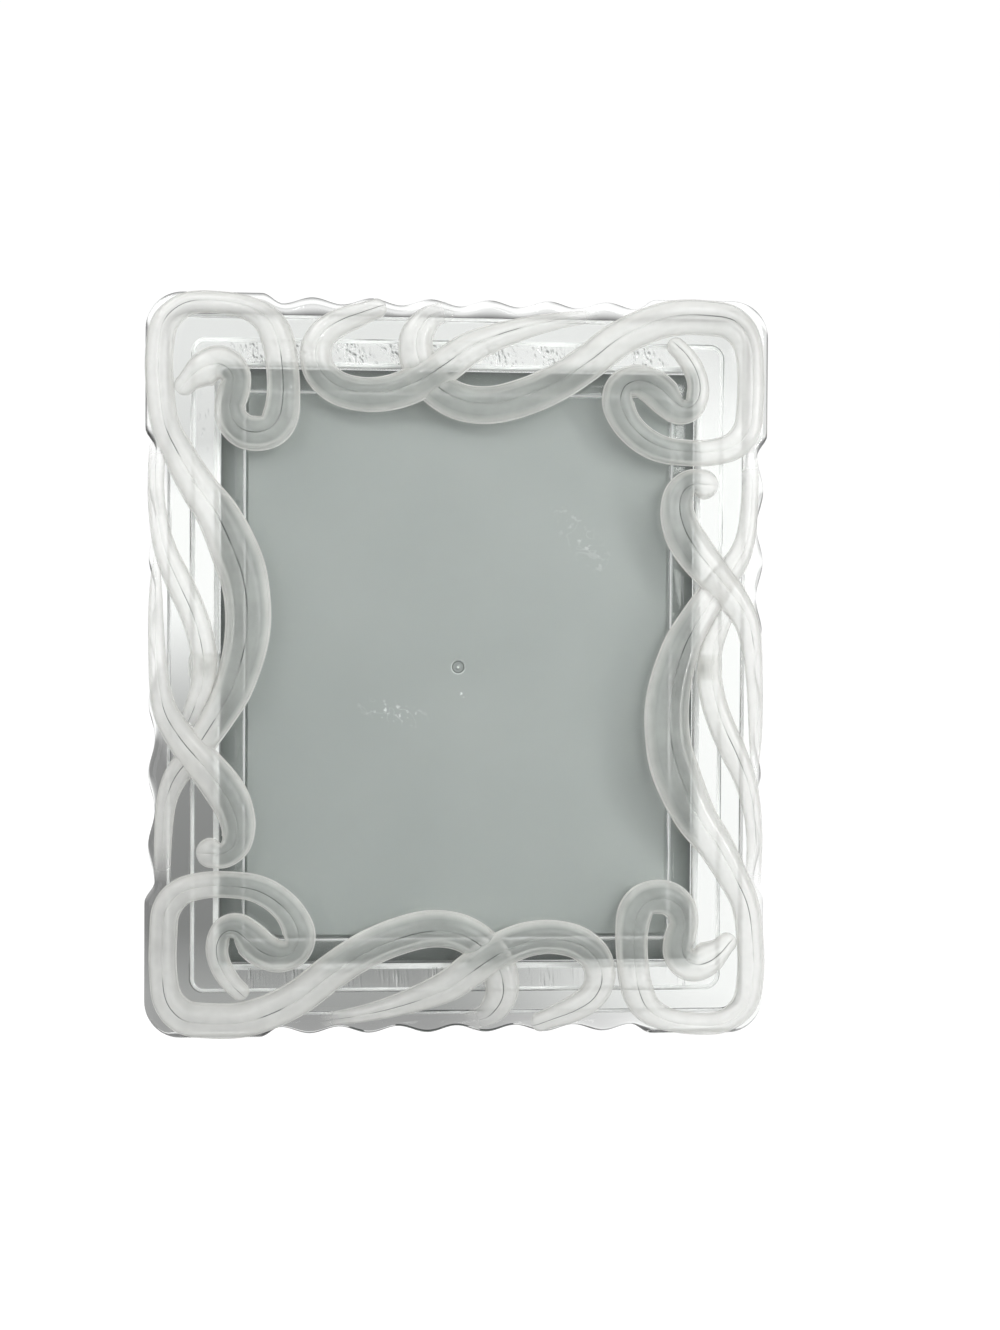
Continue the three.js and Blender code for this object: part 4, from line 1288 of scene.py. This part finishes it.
@dataclass(frozen=True)
class Strand:
    """One frosted strand of the scrollwork, seated on the face and lifted where it passes over another."""

    name: str
    runs: tuple[Run, ...]
    sunk: tuple[bool, bool]
    turned: bool = False
    seat: float = 11.86
    sunk_mm: float = 16.0
    foot_share: float = 0.08
    foot_height: float = 0.06
    rise_per_width: float = 0.5
    bridge_lift: float = 3.6
    bridge_height: float = 2.6
    turn_share: float = 0.96
    evening: int = 3
    steps: int = 7
    end_steps: int = 7
    end_share: float = 0.96
    end_across: float = 0.9
    under_points: int = 3
    lobe: Span = (2.8, 0.55)
    hollow: Span = (0.05, 0.2)
    crease: Span = (0.06, 0.03)
    foot_rise: float = 0.15

    def stations(self) -> dict[str, np.ndarray]:
        """Gives what each cut across the strand needs, with the cuts of both rounded ends.

        On the inside of a turn the reach is no more than its radius, so that the cuts don't cross.

        Returns:
            An array each for the middle, heading, left and right reach, underside and crown.
        """
        points = np.vstack([run.points() for run in self.runs])
        if self.turned:
            points = points * np.array([-1, -1, 1, 1])
        path, slope = smooth_curve(points[:, :3], self.steps)
        lift = np.clip(smooth_curve(points[:, [0, 1, 3]], self.steps)[0][:, 2], 0, 1)
        heading = slope[:, :2] / np.linalg.norm(slope[:, :2], axis=1, keepdims=True)
        (x, y), (next_x, next_y) = heading[:-1].T, heading[1:].T
        turn = np.arctan2(x * next_y - y * next_x, x * next_x + y * next_y)
        length = np.linalg.norm(np.diff(path[:, :2], axis=0), axis=1)
        room = self.turn_share * length / np.maximum(np.abs(turn), 1e-6)
        reach = {}
        for side, inner in (("left", turn > 0), ("right", turn < 0)):
            limit = np.where(inner, room, np.inf)
            limit = np.minimum(np.append(limit, np.inf), np.insert(limit, 0, np.inf))
            reach[side] = self.evened(np.minimum(path[:, 2] / 2, limit))
        under = self.bridge_lift * lift
        crown = self.rise_per_width * path[:, 2] + self.bridge_height * lift
        made = {"middle": path[:, :2], "heading": heading, **reach, "under": under, "crown": crown}
        first, last = self.end(made, 0, -1), self.end(made, -1, 1)
        return {key: np.concatenate([first[key][::-1], made[key], last[key]]) for key in made}

    def evened(self, reach: np.ndarray) -> np.ndarray:
        """Evens out a reach without making it more anywhere.

        It is the mean, near each cut, of the least near each cut.

        Args:
            reach: The reach at each cut.

        Returns:
            The evened reach.
        """
        near = range(-self.evening, self.evening + 1)
        at = np.arange(len(reach))
        least = np.min([reach[np.clip(at + step, 0, len(reach) - 1)] for step in near], axis=0)
        return np.mean([least[np.clip(at + step, 0, len(reach) - 1)] for step in near], axis=0)

    def end(self, made: dict[str, np.ndarray], at: int, way: int) -> dict[str, np.ndarray]:
        """Gives the cuts of a rounded end, which draw in along a quarter of an ellipse past the last cut.

        Args:
            made: The strand's own cuts.
            at: Which of them is the end.
            way: 1 past the end, or -1 before the start.

        Returns:
            The cuts of the end, from the strand outwards.
        """
        turn = np.linspace(0, self.end_share * np.pi / 2, self.end_steps + 1)[1:]
        left, right, under, crown = (made[key][at] for key in ("left", "right", "under", "crown"))
        ahead = way * max(left, right) * self.end_share * np.sin(turn)[:, None] * made["heading"][at]
        share = np.cos(turn)
        return {
            "middle": made["middle"][at] + ahead,
            "heading": np.repeat(made["heading"][at][None], len(turn), axis=0),
            "left": left * share,
            "right": right * share,
            "under": np.full(len(turn), under),
            "crown": under + (crown - under) * share,
        }

    def section(self) -> tuple[np.ndarray, np.ndarray]:
        """Gives a section from edge to edge: two soft lobes, a crease between them and a thin foot.

        With the foot's width taken off each edge, the height at a share s of the way out is (1 - s^p)^q,
        where p and q are the lobe's powers, less a wide hollow and a narrow crease about the middle.

        Returns:
            The places across, from -1 to 1, and the heights there, from 0 to 1.
        """
        body = 1 - self.foot_share
        inner = [0, 0.02, 0.05, 0.09, 0.14, 0.21, 0.31, 0.42, 0.53, 0.63]
        outer = [0.72, 0.8, 0.87, 0.92, 0.96, 0.985, 1]
        rise = np.array([0.85, 0.3, self.foot_rise, 0])
        half = np.concatenate([np.array(inner + outer) * body, 1 - self.foot_share * rise])
        across = np.concatenate([-half[:0:-1], half])
        size = np.minimum(np.abs(across) / body, 1)
        power, root = self.lobe
        (hollow, wide), (crease, narrow) = self.hollow, self.crease
        dip = 1 - hollow * np.exp(-((size / wide) ** 2)) - crease * np.exp(-size / narrow)
        dome = (1 - size**power) ** root * dip
        foot = np.clip((1 - np.abs(across)) / (self.foot_rise * self.foot_share), 0, 1)
        return across, self.foot_height * foot + (1 - self.foot_height) * dome

    def surface(self) -> tuple[np.ndarray, np.ndarray]:
        """Sweeps the section along the path, square to it, and closes it underneath.

        Returns:
            The points as cuts by places, and where each place lies across, which is 2 underneath.
        """
        made = self.stations()
        across, height = self.section()
        place = np.concatenate([across, np.full(self.under_points, 2.0)])
        below = np.linspace(1, -1, self.under_points + 2)[1:-1]
        across, height = np.concatenate([across, below]), np.concatenate([height, np.zeros_like(below)])
        side = np.where(across > 0, made["left"][:, None], made["right"][:, None]) * across
        left = np.stack([-made["heading"][:, 1], made["heading"][:, 0]], axis=-1)
        plan = made["middle"][:, None] + left[:, None] * side[..., None]
        under, crown = made["under"][:, None], made["crown"][:, None]
        up = self.seat + under + height * (crown - under)
        return np.concatenate([plan, up[..., None]], axis=-1), place

    def bareness(self, ends: np.ndarray, middles: np.ndarray) -> np.ndarray:
        """Gives how bare of frosting each cut is: wholly so at a sunk end, and less further from it."""
        far = np.linalg.norm(middles[:, None] - ends[None], axis=-1)
        return np.max(np.clip(1 - far / self.sunk_mm, 0, 1) * np.array(self.sunk), axis=1)

    def build(self, material: Material) -> None:
        """Builds the strand, with a point to close each of its ends.

        Args:
            material: The strand's material.
        """
        grid, place = self.surface()
        cuts, places = grid.shape[:2]
        quads = grid_quads(cuts, places, close_columns=True)
        poles = grid[[0, -1]].mean(axis=1)
        points = np.vstack([grid.reshape(-1, 3), poles])
        here = np.arange(places)
        beside = (here + 1) % places
        start = np.column_stack([here, beside, np.full(places, cuts * places)])[:, ::-1]
        last = (cuts - 1) * places
        finish = np.column_stack([last + here, last + beside, np.full(places, cuts * places + 1)])
        across = np.concatenate([np.tile(place, cuts), [self.end_across] * 2])
        bare = self.bareness(poles, grid.mean(axis=1))
        bare = np.concatenate([np.repeat(bare, places), bare[[0, -1]]])
        piece = new_piece(f"{self.name}_frosted", points, [quads, start, finish], across=across, bare=bare)
        settle(piece, Body.FRAME, Slot.FROSTED, material, self.name)


@dataclass(frozen=True)
class Scrollwork:
    """The ten frosted strands, of which five are drawn and five are the same turned half round."""

    pairs: tuple[tuple[str, str, tuple[Run, ...], tuple[bool, bool]], ...] = (
        ("tendril_left", "tendril_right", TENDRIL_LEFT, (True, False)),
        ("tendril_top", "tendril_bottom", TENDRIL_TOP, (True, False)),
        ("scroll_bottom_left", "scroll_top_right", SCROLL_BOTTOM_LEFT, (False, True)),
        ("scroll_top_left", "scroll_bottom_right", SCROLL_TOP_LEFT, (False, True)),
        ("strand_left", "strand_right", STRAND_LEFT, (True, True)),
    )

    def build(self, material: Material) -> None:
        """Builds every strand.

        Args:
            material: The strands' material.
        """
        for drawn, turned, runs, sunk in self.pairs:
            Strand(drawn, runs, sunk).build(material)
            Strand(turned, runs, sunk, turned=True).build(material)


# The window, the back and the fittings


@dataclass(frozen=True)
class Window:
    """The clear pane behind the lip, which stays the CAD node itself."""

    node: str = "window_pane"

    def build(self, material: Material) -> None:
        """Dresses the pane, and lets the light through it.

        Args:
            material: The pane's material.
        """
        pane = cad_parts[self.node]
        dress(pane, material)
        pane.visible_shadow = False


@dataclass(frozen=True)
class Back:
    """The grey panel with the nub of its gate, the leg that folds out of it and the pin between them."""

    panel_ease: float = 0.35
    leg_ease: float = 0.5
    pin_ease: float = 0.3
    gate_floor: float = 4.1
    nub_radius: float = 1.2
    nub_height: float = 0.7
    nub_dent: float = 0.45

    def nub(self) -> Piece:
        """Turns the broken-off gate about the face's own line: a dome with a dent in its top.

        The height at a share r of the radius is (1 - r^4)^0.5, less a bell-shaped dent about the middle.

        Returns:
            The new piece.
        """
        share = np.linspace(0, 1, 9)[1:]
        height = (1 - share**4) ** 0.5 - self.nub_dent * np.exp(-((share / 0.3) ** 2))
        turn = np.linspace(0, 2 * np.pi, 32, endpoint=False)
        out = self.nub_radius * share
        x, y = out[:, None] * np.cos(turn), out[:, None] * np.sin(turn)
        z = np.broadcast_to((self.gate_floor + self.nub_height * height)[:, None], x.shape)
        rings = np.stack([x, y, z], axis=-1).reshape(-1, 3)
        top = self.gate_floor + (1 - self.nub_dent) * self.nub_height
        poles = np.array([[0, 0, top], [0, 0, self.gate_floor]])
        here = np.arange(len(turn))
        beside = (here + 1) % len(turn)
        last = len(rings) - len(turn)
        over = np.column_stack([here, beside, np.full_like(here, len(rings))])
        under = np.column_stack([last + beside, last + here, np.full_like(here, len(rings) + 1)])
        quads = grid_quads(len(share), len(turn), close_columns=True)
        return new_piece("gate_nub", np.vstack([rings, poles]), [quads, over, under])

    def build(self, satin: Material, steel: Material) -> None:
        """Builds the panel, its nub, the leg and the pin, with eased edges.

        Args:
            satin: The material of the panel and the leg.
            steel: The pin's material.
        """
        panel = eased_copy("back_panel", "back_panel_satin", self.panel_ease)
        settle(panel, Body.FRAME, Slot.PANEL, satin, "back_panel")
        settle(self.nub(), Body.FRAME, Slot.PANEL, satin)
        leg = eased_copy("easel_leg", "easel_leg_satin", self.leg_ease)
        settle(leg, Body.LEG, Slot.PANEL, satin, "easel_leg")
        pin = eased_copy("hinge_pin", "hinge_pin_plated", self.pin_ease)
        settle(pin, Body.FRAME, Slot.STEEL, steel, "hinge_pin")


@dataclass(frozen=True)
class TurnButtons:
    """The two turn buttons and their screws."""

    ease: float = 0.4
    screw_ease: float = 0.15
    milkiness: float = 0.96

    def build(self, frosted: Material, nylon: Material) -> None:
        """Builds both buttons, as milky all over as a strand is near its edge, and both screws.

        Args:
            frosted: The buttons' material.
            nylon: The screws' material.
        """
        for side, body in (("left", Body.BUTTON_LEFT), ("right", Body.BUTTON_RIGHT)):
            button, screw = f"turn_button_{side}", f"turn_screw_{side}"
            piece = eased_copy(button, f"{button}_frosted", self.ease)
            give(piece.data, across=np.full(len(piece.data.vertices), self.milkiness))
            settle(piece, body, Slot.FROSTED, frosted, button)
            settle(eased_copy(screw, f"{screw}_nylon", self.screw_ease), Body.FRAME, Slot.NYLON, nylon, screw)


# The studio

Stops = tuple[Span, ...]


@dataclass(frozen=True)
class Lamp:
    """A soft lamp: its place from the middle of the face and its size, both in metres, and its watts."""

    name: str
    place: tuple[float, float, float]
    size: Span
    power: float
    shine_only: bool = False  # mirrored in glossy faces, with no light for matt ones

    def build(self, aim: np.ndarray) -> None:
        """Adds the lamp, turned to face a point.

        Args:
            aim: The point, in metres.
        """
        data = bpy.data.lights.new(self.name, "AREA")
        data.shape = "RECTANGLE"
        data.size, data.size_y = self.size
        data.energy = self.power
        lamp = placed(self.name, data)
        lamp.location = Vector(aim) + Vector(self.place)
        lamp.rotation_mode = "QUATERNION"
        lamp.rotation_quaternion = (-Vector(self.place)).to_track_quat("-Z", "Y")
        lamp.visible_diffuse = not self.shine_only


@dataclass(frozen=True)
class Sweep:
    """White paper that turns up behind the object, and shows a card with a painted shadow to the rays that
    clear pieces bend.
    """

    half: float = 3.0
    bend: float = 1.2
    top: float = 2.4
    paper: str = "#F7F8F8"
    glow: float = 1.1
    glow_seen: float = 0.9
    # dark close by: the frame's shadow on the paper, painted for bent rays
    left_card_and_shadow: Stops = (
        (0.0, 0.34), (0.03, 0.2), (0.13, 0.25), (0.28, 1.0), (0.46, 1.0), (0.58, 0.7), (0.85, 0.8),
    )
    right_card: Stops = ((0.0, 0.95), (0.2, 1.0), (0.6, 1.0), (0.9, 0.8))
    card_depth: float = 2.4
    card_split: Span = (-0.02, 0.13)
    fade_side: Span = (0.45, 0.9)
    fade_up: Span = (0.1, 0.5)
    fade_front: Span = (0.0, 0.3)
    card_dark: float = 0.25

    def card(self, tree: Tree) -> Socket:
        """Gives how bright the sweep is to the rays that the clear pieces bend.

        Straight behind the object it is white to the right, and to the left dark close by, a painted shadow
        of the frame, then white, then grey. Well off to either side, above or in front it is dark, so that
        clear edges draw grey lines.

        Args:
            tree: The sweep's node tree.

        Returns:
            The level, from 0 to 1.
        """
        place = add_node(tree, "TexCoord", out="Object")
        place = add_node(tree, "SeparateXYZ", {0: place}).node.outputs
        x, y, z = (place[axis] for axis in "XYZ")
        deep = add_node(tree, "MapRange", {"Value": y, 2: self.card_depth})
        tones = []
        for stops in (self.left_card_and_shadow, self.right_card):
            tones.append(add_node(tree, "ValToRGB", {0: deep}))
            elements = tones[-1].node.color_ramp.elements
            while len(elements) < len(stops):
                elements.new(1.0)
            for element, (spot, grey) in zip(elements, stops, strict=True):
                element.position, element.color = spot, (grey, grey, grey, 1.0)
        left, right = self.card_split
        side = {"Value": x, 1: left, 2: right}
        side = add_node(tree, "MapRange", side, interpolation_type="SMOOTHSTEP")
        level = add_node(tree, "Mix", {0: side, 2: tones[0], 3: tones[1]})
        off = add_node(tree, "Math", {0: x}, operation="ABSOLUTE")
        front = add_node(tree, "Math", {0: y, 1: -1.0}, operation="MULTIPLY")
        for value, (near, far) in ((off, self.fade_side), (z, self.fade_up), (front, self.fade_front)):
            fade = add_node(tree, "MapRange", {"Value": value, 1: near, 2: far, 3: 1.0, 4: self.card_dark})
            level = add_node(tree, "Math", {0: level, 1: fade}, operation="MULTIPLY")
        return level

    def material(self) -> Material:
        """Builds the paper: matt to the light, a glow to the camera, and the card to mirrored and bent rays.

        Returns:
            The new material.
        """
        material = bpy.data.materials.new("matt_white_paper")
        tree = empty_tree(material)
        ray = add_node(tree, "LightPath").node.outputs
        seen = ray["Is Camera Ray"]
        bent = {0: ray["Is Glossy Ray"], 1: ray["Is Transmission Ray"]}
        bent = add_node(tree, "Math", bent, operation="MAXIMUM")
        share = add_node(tree, "Math", {0: seen, 1: self.glow_seen, 2: bent}, operation="MULTIPLY_ADD")
        bright = add_node(tree, "Math", {0: self.card(tree), 1: seen}, operation="MAXIMUM")
        level = add_node(tree, "Math", {0: bright, 1: self.glow}, operation="MULTIPLY")
        paper = add_node(tree, "BsdfDiffuse", {"Color": linear(self.paper)})
        glow = add_node(tree, "Emission", {"Color": linear(WHITE), "Strength": level})
        both = add_node(tree, "MixShader", {0: share, 1: paper, 2: glow})
        add_node(tree, "OutputMaterial", {"Surface": both})
        return material

    def build(self) -> None:
        """Builds the sheet: a line along y, a quarter circle and a line up, drawn out along x."""
        turn = np.linspace(0, math.pi / 2, 24)
        y = np.concatenate([[-self.half], self.half - self.bend + self.bend * np.sin(turn), [self.half]])
        z = np.concatenate([[0.0], self.bend - self.bend * np.cos(turn), [self.top]])
        x = np.linspace(-self.half, self.half, 9)
        grid = np.stack(np.broadcast_arrays(x[None, :], y[:, None], z[:, None]), axis=-1)
        mesh = smooth_mesh("sweep", grid.reshape(-1, 3), [grid_quads(*grid.shape[:2])])
        mesh.materials.append(self.material())
        placed("sweep", mesh)


@dataclass(frozen=True)
class Studio:
    """A white sweep, soft light from the right and a camera nearly square to the face."""

    image: tuple[int, int] = (1000, 1330)
    distance: float = 0.9
    millimetres_per_pixel: float = 0.43
    face_front: float = 12.0
    aim: Span = (17.6, 1.1)
    yaw: float = math.radians(-4.65)
    pitch: float = math.radians(16.15)
    roll: float = math.radians(1.53)
    room: str = "#8C8F8E"
    room_span: Span = (0.1, 0.6)
    lamps: tuple[Lamp, ...] = (
        Lamp("key", (0.75, -1.0, 0.85), (1.0, 1.0), 8.9),
        Lamp("fill", (-1.1, -0.9, 0.55), (1.1, 1.1), 3.6),
        Lamp("rim", (-0.7, 0.15, 0.95), (0.8, 0.4), 4.0),
        Lamp("strip_right", (1.0, -0.55, 0.2), (0.04, 0.8), 4.0, shine_only=True),
        Lamp("strip_above", (-0.45, -0.75, 1.0), (0.6, 0.04), 3.4, shine_only=True),
    )

    def build(self) -> None:
        """Sets the view, the world, the sweep, the lamps and the camera."""
        scene = bpy.context.scene
        scene.view_settings.view_transform = "Standard"
        scene.world = self.world()
        Sweep().build()
        for lamp in self.lamps:
            lamp.build(FACE.world(np.array([0.0, 0.0, self.face_front])))
        scene.camera = self.camera()

    def world(self) -> bpy.types.World:
        """Makes a world that is white to the camera and behind the object, and a soft grey room all round.

        Returns:
            The new world.
        """
        world = bpy.data.worlds.new("studio")
        tree = empty_tree(world)
        way = add_node(tree, "SeparateXYZ", {0: add_node(tree, "TexCoord", out="Generated")}, out="Y")
        first, last = self.room_span
        behind = add_node(tree, "MapRange", {"Value": way, 1: first, 2: last})
        seen = add_node(tree, "LightPath", out="Is Camera Ray")
        white = add_node(tree, "Math", {0: behind, 1: seen}, operation="MAXIMUM")
        colour = add_node(tree, "Mix", {0: white, 6: linear(self.room), 7: linear(WHITE)}, **COLOURS)
        background = add_node(tree, "Background", {"Color": colour, "Strength": 1.0})
        add_node(tree, "OutputWorld", {"Surface": background})
        return world

    def camera(self) -> bpy.types.Object:
        """Adds the camera, a little to the left of the face's own line and aimed to the right of its middle.

        Returns:
            The new camera.
        """
        data = bpy.data.cameras.new("camera")
        data.lens = self.distance / MM / self.millimetres_per_pixel / max(self.image) * data.sensor_width
        camera = placed("camera", data)
        level = math.cos(self.pitch)
        back = Vector((math.sin(self.yaw) * level, -math.cos(self.yaw) * level, math.sin(self.pitch)))
        camera.location = Vector(FACE.world(np.array([*self.aim, self.face_front]))) + back * self.distance
        camera.rotation_mode = "QUATERNION"
        camera.rotation_quaternion = (-back).to_track_quat("-Z", "Y") @ Quaternion((0, 0, 1), self.roll)
        return camera


def main() -> None:
    logging.basicConfig(level=logging.INFO, format="%(message)s")
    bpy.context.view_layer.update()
    clear = ClearAcrylic("moulded_clear_acrylic").material()
    frosted = FrostedAcrylic("frosted_acrylic").material()
    satin = SatinStyrene("satin_grey_polystyrene").material()
    steel = PlatedSteel("zinc_plated_steel").material()
    nylon = MouldedNylon("natural_nylon").material()
    FrontFrame().build(clear)
    RearFrame().build(clear)
    Cement().build(DriedCement("dried_solvent_cement").material())
    Scrollwork().build(frosted)
    Back().build(satin, steel)
    TurnButtons().build(frosted, nylon)
    Window().build(PaneAcrylic("extruded_clear_acrylic").material())
    Studio().build()


if __name__ == "__main__":
    main()
